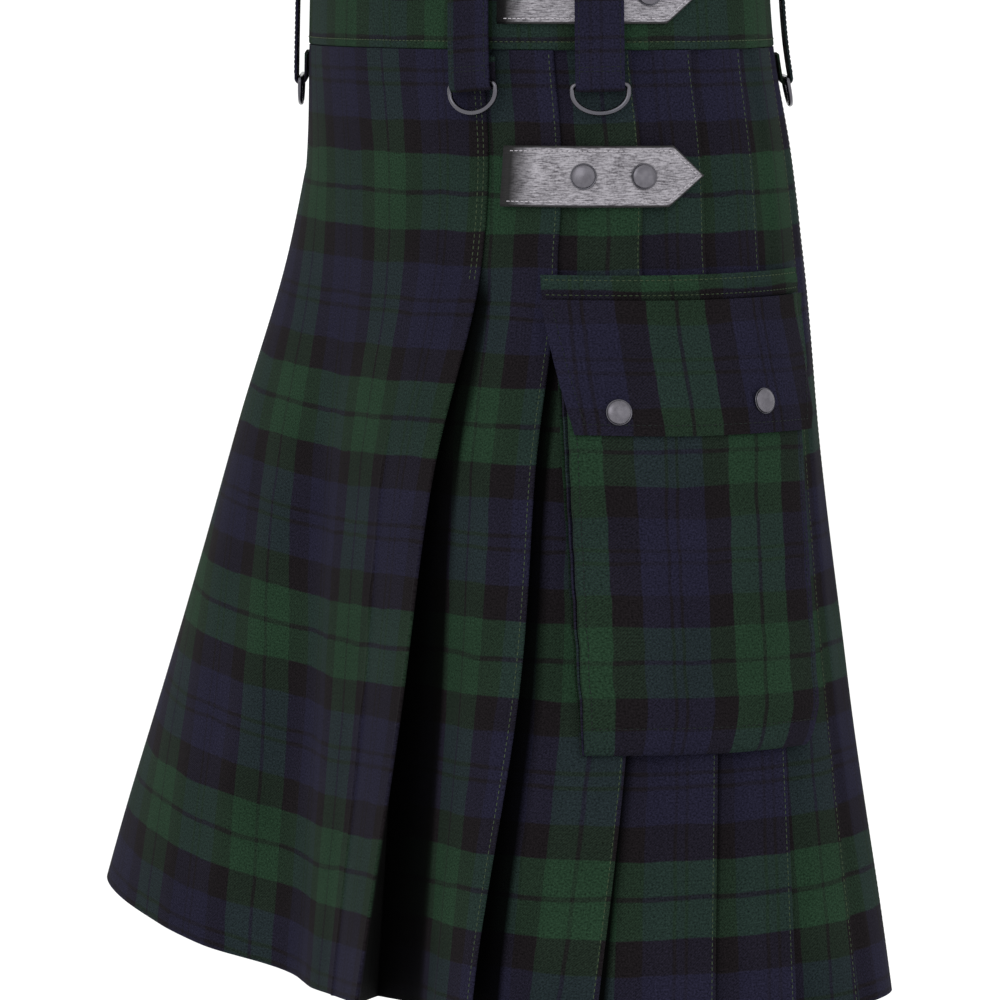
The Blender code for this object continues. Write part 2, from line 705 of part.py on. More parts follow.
def main():
    clear_scene()
    wool = material("tartan_wool", (0.02, 0.03, 0.03), 0.95)
    leather = material("grey_leather", (0.33, 0.31, 0.33), 0.45)
    metal = material("gunmetal", (0.22, 0.21, 0.22), 0.3, 1.0)
    waistband(wool)
    skirt(wool)
    loops_and_rings(wool, metal)
    welt(wool)
    bag(wool)
    flap(wool)
    straps_and_snaps(leather, metal)


main()
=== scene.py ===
"""Looks of a pleated tartan utility kilt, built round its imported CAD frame.

Frame: +Z up, the wearer faces -Y and their left is +X, metres. The origin is the centre of the
waistband's top edge. A place on the cloth is (down, around, out): the distance down the cloth
from that edge, the distance round from the centre front, positive on the wearer's left, and the
height above the body surface that SECTIONS describes. Each cloth piece is a thin closed shell on
that surface, with a UV map "sett" that counts tartan repeats and one named "weave" in metres.
"""

import math

import bpy
import numpy as np
from bpy.props import FloatProperty, PointerProperty, StringProperty
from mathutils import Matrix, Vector


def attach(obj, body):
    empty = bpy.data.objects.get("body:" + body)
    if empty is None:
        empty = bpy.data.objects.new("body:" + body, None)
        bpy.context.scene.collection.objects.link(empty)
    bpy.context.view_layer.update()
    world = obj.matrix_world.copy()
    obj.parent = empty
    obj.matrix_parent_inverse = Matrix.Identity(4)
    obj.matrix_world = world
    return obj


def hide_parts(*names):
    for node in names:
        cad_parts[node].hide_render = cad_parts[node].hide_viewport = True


bl_info = {
    "name": "Tartan utility kilt",
    "version": (1, 0, 0),
    "blender": (4, 5, 0),
    "location": "3D View > Sidebar > Kilt",
    "description": "Builds the kilt's cloth, leather, metal, stitching and studio",
    "category": "Object",
}

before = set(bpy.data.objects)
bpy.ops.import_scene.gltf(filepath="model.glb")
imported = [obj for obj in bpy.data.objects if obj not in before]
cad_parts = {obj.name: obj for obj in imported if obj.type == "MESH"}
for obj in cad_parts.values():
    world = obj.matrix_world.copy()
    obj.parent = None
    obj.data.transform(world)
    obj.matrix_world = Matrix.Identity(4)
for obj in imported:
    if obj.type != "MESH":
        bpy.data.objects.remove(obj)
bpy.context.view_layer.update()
KILT = "kilt"  # the body that all but the rings ride on

# The garment's cut, in metres, as its solids have it.
LENGTH = 0.610
BAND_HEIGHT = 0.055
FELL = 0.170  # the pleats are stitched down this far
CLOTH = 0.0010
BAND = 0.0030
SEAM_GAP = 0.0003
SEAT_GAP = 0.0008

SECTION_COLUMNS = ("down", "side", "front", "back", "square", "near", "far")
SECTIONS = (
    (0.000, 0.172, 0.114, 0.119, 2.1, 0.115, 0.225),
    (0.055, 0.174, 0.115, 0.124, 2.1, 0.119, 0.230),
    (0.120, 0.179, 0.113, 0.137, 2.2, 0.1245, 0.238),
    (0.180, 0.186, 0.113, 0.144, 2.4, 0.125, 0.245),
    (0.300, 0.206, 0.124, 0.148, 3.0, 0.1195, 0.255),
    (0.450, 0.238, 0.133, 0.152, 3.8, 0.127, 0.275),
    (0.610, 0.276, 0.143, 0.168, 4.6, 0.128, 0.295),
)
BACK_SQUARE = 2.15  # the back half's power, at every height
SWING, SWING_TOP, SWING_POWER = 0.038, 0.130, 0.85  # the far side swings out, most at the hem
SWING_ROUND, SWING_BACK = 0.14, 0.35
ROWS_FINE, ANGLES, SHARES = 123, 721, 481

# Pleats of each half from the apron's edge: widths shown at PLEAT_DOWN, the fold's height at the
# hem, the tartan's phase at the fold in setts (0 is a green centre, 0.5 a blue one).
PLEAT_DOWN = (0.170, 0.370, 0.610)
NEAR_PLEATS = (
    ((0.0485, 0.0765, 0.0860), 0.0160, 0.42),
    ((0.0475, 0.0560, 0.0660), 0.0105, 0.18),
    ((0.0400, 0.0510, 0.0670), 0.0105, 0.70),
    ((0.0420, 0.0440, 0.0520), 0.0105, 0.62),
    ((0.0500, 0.0470, 0.0520), 0.0105, 0.20),
    ((0.0430, 0.0530, 0.0660), 0.0105, 0.60),
    ((0.0400, 0.0520, 0.0720), 0.0105, 0.35),
    ((0.0390, 0.0525, 0.0730), 0.0105, 0.80),
    ((0.0360, 0.0540, 0.0745), 0.0105, 0.30),
)
FAR_PLEATS = (
    ((0.048, 0.067, 0.085), 0.0105, 0.30),
    ((0.045, 0.060, 0.075), 0.0105, 0.55),
    ((0.045, 0.059, 0.072), 0.0105, 0.30),
    ((0.044, 0.057, 0.070), 0.0105, 0.70),
    ((0.042, 0.057, 0.072), 0.0105, 0.35),
    ((0.041, 0.058, 0.076), 0.0105, 0.30),
)
NEAR_SIDE, FAR_SIDE = 4, 3  # folds in each side piece, the rest are in the back pieces
LAYER = 0.0014
FOLD_RADIUS = LAYER / 2
PLEAT_UNDER, APRON_UNDER = 0.50, 0.042
PLEAT_STEP_TOP, PLEAT_STEP_HIP = 0.0028, 0.0030  # a fold's height at the waist seam, the fell
EDGE_DOWN = (0.055, 0.190, 0.300, 0.450, 0.610)  # the apron's edges stand out by these much
NEAR_EDGE_OUT = (0.0028, 0.0034, 0.0100, 0.0220, 0.0360)
FAR_EDGE_OUT = (0.0028, 0.0032, 0.0070, 0.0130, 0.0200)
NEAR_FLARE, FAR_FLARE = (0.18, 1.3), (0.17, 1.5)  # over this width, with this exponent
VALLEY = 0.003  # a face stays down over this width past the fold before it
STACK_RISE = 0.010  # a face climbs onto its own hidden layers over this width
# Painted shade darkens the wool beside each fold, over these widths at the apron's near edge.
PAINTED_SHADE_DOWN = (0.170, 0.200, 0.260, 0.610)  # the shade beside the apron's near edge is this wide
PAINTED_SHADE_WIDTH = (0.0, 0.006, 0.009, 0.012)
# Round a fold's half circle: its points, the cloth that it takes up in setts and in metres, the
# painted shade at its points, and how far under the fold that painted shade fades in to the whole.
ARC_POINTS, TURN_SETTS, APRON_TURN, SHADE_FADE = 7, 0.02, 0.002, 0.012
TURN_SHADE = (0.0, 0.0, 0.0, 0.0, 0.2, 0.4, 0.6)

# The tartan's repeat across and down the cloth; phases and stripes are shares of it.
COLUMN_SETT, ROW_SETT = 0.104, 0.133
ROW_GREEN = 0.138  # a green row's centre lies this far down
APRON_PHASE = 0.80  # at the apron's near edge
THREAD = 0.0004  # a yarn's width
BAND_ROWS_FROM, BAND_PHASE = 0.049, 0.1  # the band's own green row and its phase at the front

# Soft creases and pressed ones: (down, around) at the top and the bottom, width, height.
CREASES = (
    (0.230, -0.055, 0.600, -0.085, 0.022, 0.0045),
    (0.200, -0.020, 0.480, -0.028, 0.020, -0.0035),
    (0.300, 0.020, 0.610, 0.030, 0.024, 0.0030),
    (0.330, 0.175, 0.610, 0.215, 0.020, 0.0035),
    (0.420, 0.290, 0.610, 0.300, 0.018, -0.0030),
    (0.260, 0.430, 0.610, 0.500, 0.022, 0.0035),
    (0.240, -0.200, 0.610, -0.250, 0.024, 0.0040),
    (0.300, -0.330, 0.610, -0.380, 0.020, -0.0035),
    (0.280, -0.450, 0.600, -0.520, 0.022, 0.0030),
)
PRESSED_FROM_EDGE, PRESSED_WIDTH, PRESSED_HEIGHT = 0.052, 0.0013, 0.0020
PRESSED_START = 0.250

# Belt loops: place, side, angle of the place on the waist section in degrees.
LOOP_PLACES = (
    ("front_left", 1, -51.0),
    ("side_left", 1, -19.5),
    ("back_left", 1, 56.0),
    ("back_centre", 1, 90.0),
    ("back_right", -1, 56.0),
    ("side_right", -1, -19.5),
    ("front_right", -1, -51.0),
)
LOOP_PHASES = ((0.26, 0.120), (0.52, 0.120))  # setts across, the green row's place along
LOOP_WIDTH, LOOP_THICK = 0.0280, 0.0020
LOOP_OUT = 0.0109
LOOP_FLAT = (0.012, 0.055)
LOOP_END = 0.060
LOOP_ROOT = ((0.0008, 0.0), (0.0026, 0.0014), (0.0044, 0.0040))
BAR_DOWN, BAR_OUT = 0.0750, 0.0079
WIRE, WIRE_PLAY = 0.0015, 0.0005
RING_CHEEK, RING_CORNER = 0.0040, 0.0022
RING_HALF_WIDTH, RING_DEPTH = 0.0160, 0.0160

STRAPS = (
    # name, down, start round from the centre front, length, out
    ("strap_upper", 0.0228, 0.1297, 0.1165, 0.0036),
    ("strap_lower", 0.1271, 0.1360, 0.1165, 0.0036),
)
STRAP_WIDTH, STRAP_THICK, STRAP_POINT = 0.035, 0.0022, 0.0205

POCKET_TOP, WELT_HEIGHT = 0.1835, 0.0145
FLAP_TOP, FLAP_BOTTOM = 0.1985, 0.2770
BAG_TOP, BAG_BOTTOM = 0.2080, 0.4560
FLAP_SPAN_TOP, FLAP_SPAN_BOTTOM = (-0.080, 0.094), (-0.0690, 0.0715)
BAG_SPAN_TOP, BAG_SPAN_BOTTOM = (-0.0665, 0.070), (-0.083, 0.052)
GUSSET = (0.0080, 0.0025)  # width of each side's gusset at the bag's top and at its bottom
BAG_DEPTH, BAG_MOUTH, SWELL_DOWN, FOOT_ROLL = 0.0125, 0.35, 0.265, 0.022
FLAP_GAP = 0.0012
FLAP_REACH = 0.008  # the flap keeps the bag's height this far past the bag's sides
BRIDGE_SHARE, BRIDGE_HEIGHT = 0.5, 0.04
RISE_SHARE = 0.25
BAG_FOOT = 0.030  # the rows draw together over the bag's last stretch
BAG_SEAT = 0.0002  # the gussets' outer edges lie this far off the skirt
# The bag's bellows: share of the gusset outwards from the face, share of the bag's depth.
GUSSET_FOLDS = ((1.0, 0.0), (0.86, 0.42), (0.66, 0.16), (0.46, 0.74), (0.22, 0.44), (0.0, 0.92))
# The bag's stripes follow its sides: its face counts as this wide, with a green centre at this
# share of it. Its rows have a green centre and a repeat of their own.
BAG_CUT, BAG_GREEN = 0.1387, -0.02
BAG_ROW_GREEN, BAG_ROW_SETT = 0.4057, 0.120
BAG_CREASES = (
    # place round from the side line, top, bottom, width, height
    (-0.030, 0.300, 0.400, 0.009, -0.0016),
    (-0.006, 0.320, 0.450, 0.010, 0.0014),
    (0.034, 0.290, 0.440, 0.012, -0.0012),
)
FLAP_PHASE = (0.091, 0.1705)
WELT_GROOVES = (0.20, 0.80)  # where its two rows of stitches pull it in, as shares of its height

SNAP_RADIUS, SNAP_HEIGHT = 0.0075, 0.0026
SNAP_UPPER_ALONG, SNAP_LOWER_ALONG = 0.085, (0.048, 0.080)
# A snap's two profiles: radius and height as shares of the snap's.
SNAP_SEAT = ((0.0, 0.0), (1.0, 0.0), (1.0, 0.20), (0.97, 0.28), (0.88, 0.20), (0.0, 0.18))
SNAP_CAP = (
    *((0.0, 0.19), (0.87, 0.19), (0.90, 0.30), (0.89, 0.42), (0.84, 0.56)),
    *((0.74, 0.70), (0.58, 0.84), (0.38, 0.94), (0.18, 0.99), (0.0, 1.00)),
)
FLAP_SNAPS = (
    # name, down, from the side line, over the flap
    ("snap_flap_front", 0.2638, -0.0477, 0.0004),
    ("snap_flap_back", 0.2588, 0.0345, 0.0008),
)

# Stitching: one stitch's pitch, length and thread radius.
STITCH_PITCH, STITCH_LENGTH, STITCH_RADIUS = 0.0034, 0.0026, 0.00028
LOOP_PITCH, STRAP_PITCH = 0.0028, 0.0029
BAND_STITCHES = (0.0505, 0.0035)  # down the band
APRON_INSETS, PLEAT_INSET = (0.0020, 0.0058), 0.0022  # from a fold to its stitches
BAG_INSET, BAG_FOOT_INSET, FLAP_INSET, STRAP_INSET = 0.022, 0.0135, 0.006, 0.0030

FLOOR_REACH = 8.0
LIGHTS = (
    # name and setting, bearing past the camera's, distance, height, size
    ("key", -25, 2.6, 1.1, 1.6),
    ("fill", 35, 3.0, 0.5, 2.0),
    ("rim", 180, 1.2, 2.6, 2.0),
)
LIT_AT = (0, 0, -0.3)


# Numbers and curves


def smooth_step(t):
    """Three t squared less two t cubed, with t held between nothing and one."""
    t = np.clip(t, 0, 1)
    return t * t * (3 - 2 * t)


def linear_colour(code):
    """An sRGB hex colour as linear red, green and blue."""
    srgb = [int(code[i : i + 2], 16) / 255 for i in (1, 3, 5)]
    return tuple(c / 12.92 if c <= 0.04045 else ((c + 0.055) / 1.055) ** 2.4 for c in srgb)


def through(at, knots, values):
    """A smooth curve through the values at the knots: cubic Hermite spans whose slopes are the
    values' own gradient. It stays level past both ends."""
    knots, values = np.asarray(knots, float), np.asarray(values, float)
    at = np.clip(at, knots[0], knots[-1])
    slopes = np.gradient(values, knots)
    low = np.clip(np.searchsorted(knots, at, side="right") - 1, 0, len(knots) - 2)
    span = knots[low + 1] - knots[low]
    t = (at - knots[low]) / span
    return (
        (2 * t**3 - 3 * t**2 + 1) * values[low]
        + (t**3 - 2 * t**2 + t) * span * slopes[low]
        + (3 * t**2 - 2 * t**3) * values[low + 1]
        + (t**3 - t**2) * span * slopes[low + 1]
    )


def section_column(name, down):
    """One column of the sections at places down the cloth."""
    rows = np.array(SECTIONS)
    return through(down, rows[:, 0], rows[:, SECTION_COLUMNS.index(name)])


def body_tables():
    """Points, normals and half girths of the body surface.

    Each row is a superellipse, x = side cos^p and y = depth sin^p of the angle, at a height
    summed along the cloth from its lean, and is then read at shares shares of its girth.
    """
    down = np.linspace(0, LENGTH, ROWS_FINE)
    angle = np.linspace(-math.pi / 2, math.pi / 2, ANGLES)
    side, front, back, square = (
        section_column(name, down)[:, None] for name in ("side", "front", "back", "square")
    )
    power = np.where(angle < 0, 2 / square, 2 / BACK_SQUARE)
    x = side * np.clip(np.cos(angle), 0, 1) ** power
    y = np.where(angle < 0, front, back) * np.sign(angle) * np.abs(np.sin(angle)) ** power
    lean = np.gradient(x, down, axis=0) ** 2 + np.gradient(y, down, axis=0) ** 2
    fall = np.sqrt(np.clip(1 - lean, 0.2, 1))
    z = np.zeros_like(x)
    z[1:] = -np.cumsum((fall[1:] + fall[:-1]) / 2 * np.diff(down)[:, None], axis=0)
    points = np.stack([x, y, z], axis=-1)
    around = np.gradient(points, axis=1)
    around[:, 0] = around[:, -1] = (1.0, 0.0, 0.0)
    around[:, -1] *= -1
    normals = np.cross(np.gradient(points, axis=0), around)
    normals /= np.linalg.norm(normals, axis=-1, keepdims=True)
    steps = np.linalg.norm(np.diff(points[..., :2], axis=1), axis=-1)
    girth = np.hstack([np.zeros((ROWS_FINE, 1)), np.cumsum(steps, axis=1)])
    shares = np.linspace(0, 1, SHARES)
    packed = np.concatenate([points, normals, np.broadcast_to(angle[:, None], x.shape + (1,))], -1)
    rows = [
        np.stack([np.interp(shares * g[-1], g, row[:, k]) for k in range(7)], -1)
        for g, row in zip(girth, packed)
    ]
    return down, np.array(rows), girth[:, -1]


DOWN, SURFACE, HALF_GIRTH = body_tables()


def half_round(down):
    """Half the girth at places down the cloth."""
    return np.interp(down, DOWN, HALF_GIRTH)


def surface_at(down, share):
    """Rows of the surface table at places down and shares of half the girth, read bilinearly."""
    row = np.clip(down / LENGTH * (ROWS_FINE - 1), 0, ROWS_FINE - 1 - 1e-9)
    col = np.clip(share * (SHARES - 1), 0, SHARES - 1 - 1e-9)
    r, c = row.astype(int), col.astype(int)
    s, t = (row - r)[..., None], (col - c)[..., None]
    upper = SURFACE[r, c] * (1 - t) + SURFACE[r, c + 1] * t
    lower = SURFACE[r + 1, c] * (1 - t) + SURFACE[r + 1, c + 1] * t
    return upper * (1 - s) + lower * s


def swing(down, signed, half):
    """How far the far side swings out: a power of the place down, faded in from the centre
    front and out to the centre back."""
    grown = np.clip((down - SWING_TOP) / (LENGTH - SWING_TOP), 0, 1) ** SWING_POWER
    round_front = smooth_step(-signed / SWING_ROUND)
    return SWING * grown * round_front * smooth_step((half - np.abs(signed)) / (SWING_BACK * half))


def on_cloth(down, around, out):
    """World points and normals of places on the cloth, given as arrays that broadcast."""
    down, around, out = np.broadcast_arrays(*(np.asarray(v, float) for v in (down, around, out)))
    half = half_round(down)
    wrapped = (around + half) % (2 * half) - half
    found = surface_at(down, np.abs(wrapped) / half)
    points, normals = found[..., :3].copy(), found[..., 3:6].copy()
    mirror = np.where(wrapped < 0, -1.0, 1.0)
    points[..., 0] *= mirror
    normals[..., 0] *= mirror
    normals /= np.linalg.norm(normals, axis=-1, keepdims=True)
    return points + normals * (out + swing(down, wrapped, half))[..., None], normals


def round_at(down, side, degrees):
    """Distance round of an angle on the section at one place down."""
    shares = np.linspace(0, 1, SHARES)
    angles = surface_at(np.full(SHARES, float(down)), shares)[:, 6]
    return side * float(np.interp(math.radians(degrees), angles, shares) * half_round(down))


SIDE_SHARE = np.array([np.interp(0.0, row[:, 6], np.linspace(0, 1, SHARES)) for row in SURFACE])


def side_round(down):
    """Distance round of the side line, where the section is widest."""
    return np.interp(down, DOWN, SIDE_SHARE) * half_round(down)


def on_side(down, around, out):
    """World points and normals of places measured round from the side line."""
    return on_cloth(down, side_round(down) + around, out)


# Meshes


def unit(vectors):
    """Vectors divided by their lengths."""
    return vectors / np.maximum(np.linalg.norm(vectors, axis=-1, keepdims=True), 1e-12)


def grid_normals(points):
    """Normals of a grid: rows' direction crossed with columns' direction."""
    return unit(np.cross(np.gradient(points, axis=0), np.gradient(points, axis=1)))


def grid_corners(rows, columns):
    """Rows and columns of the four corners of each of a grid's quads."""
    r, c = (part.ravel() for part in np.meshgrid(range(rows), range(columns), indexing="ij"))
    return np.stack([r, r + 1, r + 1, r], 1), np.stack([c, c, c + 1, c + 1], 1)


def mesh_object(name, vertices, faces, maps, finish, smooth_degrees=45.0):
    """An object from vertices and quads, with UV maps given for each face's corners."""
    mesh = bpy.data.meshes.new(name)
    mesh.vertices.add(len(vertices))
    mesh.vertices.foreach_set("co", np.asarray(vertices, np.float32).ravel())
    mesh.loops.add(faces.size)
    mesh.loops.foreach_set("vertex_index", faces.astype(np.int32).ravel())
    mesh.polygons.add(len(faces))
    starts = np.arange(len(faces), dtype=np.int32) * faces.shape[1]
    mesh.polygons.foreach_set("loop_start", starts)
    mesh.update(calc_edges=True)
    for label, corners in maps.items():
        layer = mesh.uv_layers.new(name=label)
        layer.data.foreach_set("uv", np.asarray(corners, np.float32).ravel())
    mesh.validate()
    mesh.shade_smooth()
    mesh.set_sharp_from_angle(angle=math.radians(smooth_degrees))
    mesh.materials.append(finish)
    made = bpy.data.objects.new(name, mesh)
    bpy.context.scene.collection.objects.link(made)
    return made


def shell(name, points, thick, setts, weave, finish, normals=None):
    """A closed shell of a thickness about a grid of points: the grid moved half the thickness
    out and in along its normals, joined round its rims."""
    rows, columns = points.shape[:2]
    if normals is None:
        normals = grid_normals(points)
    half = np.broadcast_to(np.asarray(thick, float), (rows, columns))[..., None] / 2
    vertices = np.concatenate([points + normals * half, points - normals * half])
    row, col = grid_corners(rows - 1, columns - 1)
    back = [0, 3, 2, 1]
    parts = [(0, row, col), (1, row[:, back], col[:, back])]
    across, along = np.arange(columns - 1), np.arange(rows - 1)
    first, last = 0 * across, 0 * across + rows - 1
    left, right = 0 * along, 0 * along + columns - 1
    for row_a, col_a, row_b, col_b in (
        (first, across, first, across + 1),
        (last, across + 1, last, across),
        (along + 1, left, along, left),
        (along, right, along + 1, right),
    ):
        row, col = np.stack([row_a, row_b, row_b, row_a], 1), np.stack([col_a, col_b, col_b, col_a], 1)
        parts.append(([0, 0, 1, 1], row, col))
    side, row, col = (
        np.concatenate([np.broadcast_to(part[k], part[1].shape) for part in parts]) for k in range(3)
    )
    faces = (side * rows + row) * columns + col
    maps = {"sett": setts[row, col], "weave": weave[row, col]}
    return mesh_object(name, vertices.reshape(-1, 3), faces, maps, finish)


def ring_mesh(name, points, finish, smooth_degrees=45.0, closed=True, maps=None):
    """A surface facing outwards through closed rings of points, (rings, points, 3). The last ring
    joins the first where it is closed, and the maps have one more row and column then."""
    rows, columns = points.shape[:2]
    row, col = grid_corners(rows if closed else rows - 1, columns)
    maps = {label: grid[row, col] for label, grid in (maps or {}).items()}
    faces = row % rows * columns + col % columns
    made = mesh_object(name, points.reshape(-1, 3), faces, maps, finish, smooth_degrees)
    made.data.calc_loop_triangles()
    triangles = np.empty(len(made.data.loop_triangles) * 3, np.int32)
    made.data.loop_triangles.foreach_get("vertices", triangles)
    if np.linalg.det(points.reshape(-1, 3)[triangles.reshape(-1, 3)]).sum() < 0:
        made.data.flip_normals()
    return made


def flat_maps(down, around, phase, rows_from=ROW_GREEN):
    """Sett and weave coordinates of a piece: setts from the green centres, and metres."""
    down, around = np.broadcast_arrays(down, around)
    setts = np.stack([phase + around / COLUMN_SETT, (down - rows_from) / ROW_SETT], -1)
    return setts, np.stack([around, down], -1)


# The skirt's face and folds


def pleats_of(far):
    """The pleats of the wearer's right half, or of their left one."""
    return FAR_PLEATS if far else NEAR_PLEATS


def fold_places(down, far=False):
    """Distance round of each fold of one half, a row for each place down: the apron's edge, then
    the pleats' shown widths, added up and fitted to the half girth."""
    down = np.atleast_1d(down)
    edge = section_column("far" if far else "near", down)[:, None]
    room = half_round(down)[:, None] - edge
    shares = np.stack([through(down, PLEAT_DOWN, row[0]) for row in pleats_of(far)], axis=1)
    places = np.cumsum(shares, axis=1) / shares.sum(axis=1, keepdims=True) * room
    return edge + np.hstack([np.zeros_like(edge), places])


def fold_top(down, k, far=False):
    """How far fold k stands out. Fold 0 is the apron's edge."""
    if k == 0:
        return through(down, EDGE_DOWN, FAR_EDGE_OUT if far else NEAR_EDGE_OUT)
    steps = PLEAT_STEP_TOP, PLEAT_STEP_HIP, pleats_of(far)[k - 1][1]
    return np.interp(down, (BAND_HEIGHT, FELL, LENGTH), steps)


def fold_deep(places, k):
    """Distance round of the hidden fold under fold k."""
    under = PLEAT_UNDER * (places[:, k] - places[:, k - 1]) if k else APRON_UNDER
    return places[:, k] - under


def apron_out(down, signed):
    """Height of the apron's face: level in its middle, and a power of the place across that
    lifts it to both edges."""
    out = np.full(np.broadcast(down, signed).shape, 2 * LAYER)
    for far, (width, power) in ((False, NEAR_FLARE), (True, FAR_FLARE)):
        edge = section_column("far" if far else "near", down)
        past = np.clip(((-signed if far else signed) - edge + width) / width, 0, 1)
        out = out + (fold_top(down, 0, far) - 2 * LAYER) * past**power
    return out


def face_out(down, around, k, far=False):
    """Height of the face that ends at fold k. It lies on the body past the fold before, climbs
    onto its own hidden layers, and rises to the fold's top by a power of its share, rounded."""
    places = fold_places(down[:, 0], far)
    top = fold_top(down, k, far)
    deep = fold_deep(places, k)[:, None]
    tip = places[:, k][:, None]
    valley = places[:, k - 1][:, None] + VALLEY
    past = np.clip((around - valley) / (tip - valley), 0, 1)
    stacked = smooth_step((around - deep + STACK_RISE) / STACK_RISE)
    bulge = (top - 2 * LAYER) * (0.6 * past**1.6 + 0.4 * np.sin(math.pi / 2 * past))
    return stacked * 2 * LAYER + bulge


def creases(down, around):
    """Soft ridges and troughs: a bell across each crease's line, fading in and out along it."""
    raised = np.zeros(np.broadcast(down, around).shape)
    for top, top_round, bottom, bottom_round, width, height in CREASES:
        t = (down - top) / (bottom - top)
        centre = top_round + (bottom_round - top_round) * np.clip(t, 0, 1.2)
        fade = smooth_step(t / 0.45) * (1 - 0.5 * smooth_step((t - 0.8) / 0.4))
        raised = raised + height * fade * np.exp(-(((around - centre) / width) ** 2))
    return raised


def pressed(down, around):
    """The apron's pressed crease: a narrow tent along a line beside its near edge."""
    line = section_column("near", down) - PRESSED_FROM_EDGE
    fade = smooth_step((down - PRESSED_START) / 0.06)
    return PRESSED_HEIGHT * fade * np.exp(-np.abs(around - line) / PRESSED_WIDTH)


def skirt_out(down, around):
    """Height of the skirt's outer cloth at places on the wearer's left."""
    places = fold_places(down[:, 0])
    found = apron_out(down, around)
    for k in range(1, len(NEAR_PLEATS)):
        found = np.where(around > places[:, k - 1][:, None], face_out(down, around, k), found)
    return found + creases(down, around)


def arc(centre_around, centre_out, towards):
    """A fold's half circle from its upper layer to its lower one, over all the rows."""
    angle = np.radians(np.linspace(90, -90, ARC_POINTS))
    around = centre_around[:, None] + towards * FOLD_RADIUS * np.cos(angle)
    return around, centre_out[:, None] + FOLD_RADIUS * np.sin(angle)


def even(low, high, count, ease=0.0):
    """Evenly spaced columns between two edges, closer to the ends with ease."""
    t = np.linspace(0, 1, count)
    t = (1 - ease) * t + ease * (1 - np.cos(math.pi * t)) / 2
    return low[:, None] * (1 - t) + high[:, None] * t


def under_layer(rows, around, k, far):
    """Height of the layer under fold k, level with the fold's lower side at both its ends."""
    places = fold_places(rows, far)
    tip, deep = places[:, k], fold_deep(places, k)
    past = np.clip((around - deep[:, None]) / (tip - deep)[:, None], 0, 1)
    return 2 * FOLD_RADIUS + (fold_top(rows, k, far)[:, None] - 4 * FOLD_RADIUS) * past


def painted_shade_beside(rows, around, k, far):
    """How much painted shade a place gets from the fold before it, standing for that fold's shadow:
    one up to a width that grows with the fold's lift and down the cloth, then a soft fall to nothing."""
    past = around - fold_places(rows, far)[:, k - 1][:, None]
    lift = float(fold_top(np.array([LENGTH]), k - 1, far)[0]) / NEAR_EDGE_OUT[-1]
    wide = (np.interp(rows, PAINTED_SHADE_DOWN, PAINTED_SHADE_WIDTH) * lift)[:, None]
    opened = smooth_step((rows[:, None] - PAINTED_SHADE_DOWN[0]) / 0.03)
    return opened * (1 - smooth_step((past - wide) / (0.003 + 0.3 * wide)))


def half_track(rows, first, last, face_columns, under_columns, far=False, to_centre=0):
    """The cloth's path of one half, as (around, out, cut, recess) grids.

    It starts half way along the under layer of fold `first` and ends half way along that of
    fold `last`, or goes on over `to_centre` columns to the centre back. The cut is the place
    across the cloth in setts, which runs on from each fold.
    """
    down = rows[:, None]
    places = fold_places(rows, far)
    phases = [APRON_PHASE, *(row[2] for row in pleats_of(far))]
    around, out, cut, recess = [], [], [], []

    def add(a, o, c, r):
        around.append(a)
        out.append(o)
        cut.append(c)
        recess.append(np.broadcast_to(r, a.shape))

    for k in range(first, last + 1):
        tip, deep, top = places[:, k], fold_deep(places, k), fold_top(rows, k, far)
        middle = (tip + deep) / 2
        ends_here = k == last and not to_centre
        if k > first:
            start = fold_deep(places, k - 1) + FOLD_RADIUS
            a = even(start, tip - FOLD_RADIUS, face_columns, 0.5)
            o = face_out(down, a, k, far)
            # Painted shade beside the fold before, standing for its shadow.
            shade = painted_shade_beside(rows, a, k, far)
            add(a, o, phases[k] + (a - tip[:, None]) / COLUMN_SETT, shade)
            a, o = arc(tip - FOLD_RADIUS, top - FOLD_RADIUS, 1)
            turned = phases[k] + np.broadcast_to(np.linspace(0, TURN_SETTS, ARC_POINTS), a.shape)
            # The fold's turn takes painted shade that grows towards its underside.
            add(a, o, turned, TURN_SHADE)
            end = middle + SEAM_GAP / 2 if ends_here else deep + FOLD_RADIUS
            a = even(tip - FOLD_RADIUS, end, under_columns + 1)[:, 1:]
        else:
            a = even(middle - SEAM_GAP / 2, deep + FOLD_RADIUS, under_columns)
        # The hidden layer under the fold gets painted shade that deepens away from the fold.
        hidden = np.clip(TURN_SHADE[-1] + (tip[:, None] - a) / SHADE_FADE, 0, 1)
        cut_under = phases[k] + TURN_SETTS + (tip[:, None] - a) / COLUMN_SETT
        add(a, under_layer(rows, a, k, far), cut_under, hidden)
        if not ends_here:
            # The hidden fold's turn is in whole painted shade.
            a, o = arc(deep + FOLD_RADIUS, np.full(len(rows), FOLD_RADIUS), -1)
            place = phases[k] + TURN_SETTS + (tip - deep)[:, None] / COLUMN_SETT
            add(a[:, 1:-1], o[:, 1:-1], np.broadcast_to(place, a[:, 1:-1].shape), 1.0)
    if to_centre:
        start = fold_deep(places, last) + FOLD_RADIUS
        a = even(start, places[:, -1], to_centre)
        # Painted shade beside the last fold, standing for its shadow.
        shade = painted_shade_beside(rows, a, last + 1, far)
        add(a, 0 * a, phases[-1] + (a - places[:, -1:]) / COLUMN_SETT, shade)
    return tuple(np.hstack(part) for part in (around, out, cut, recess))


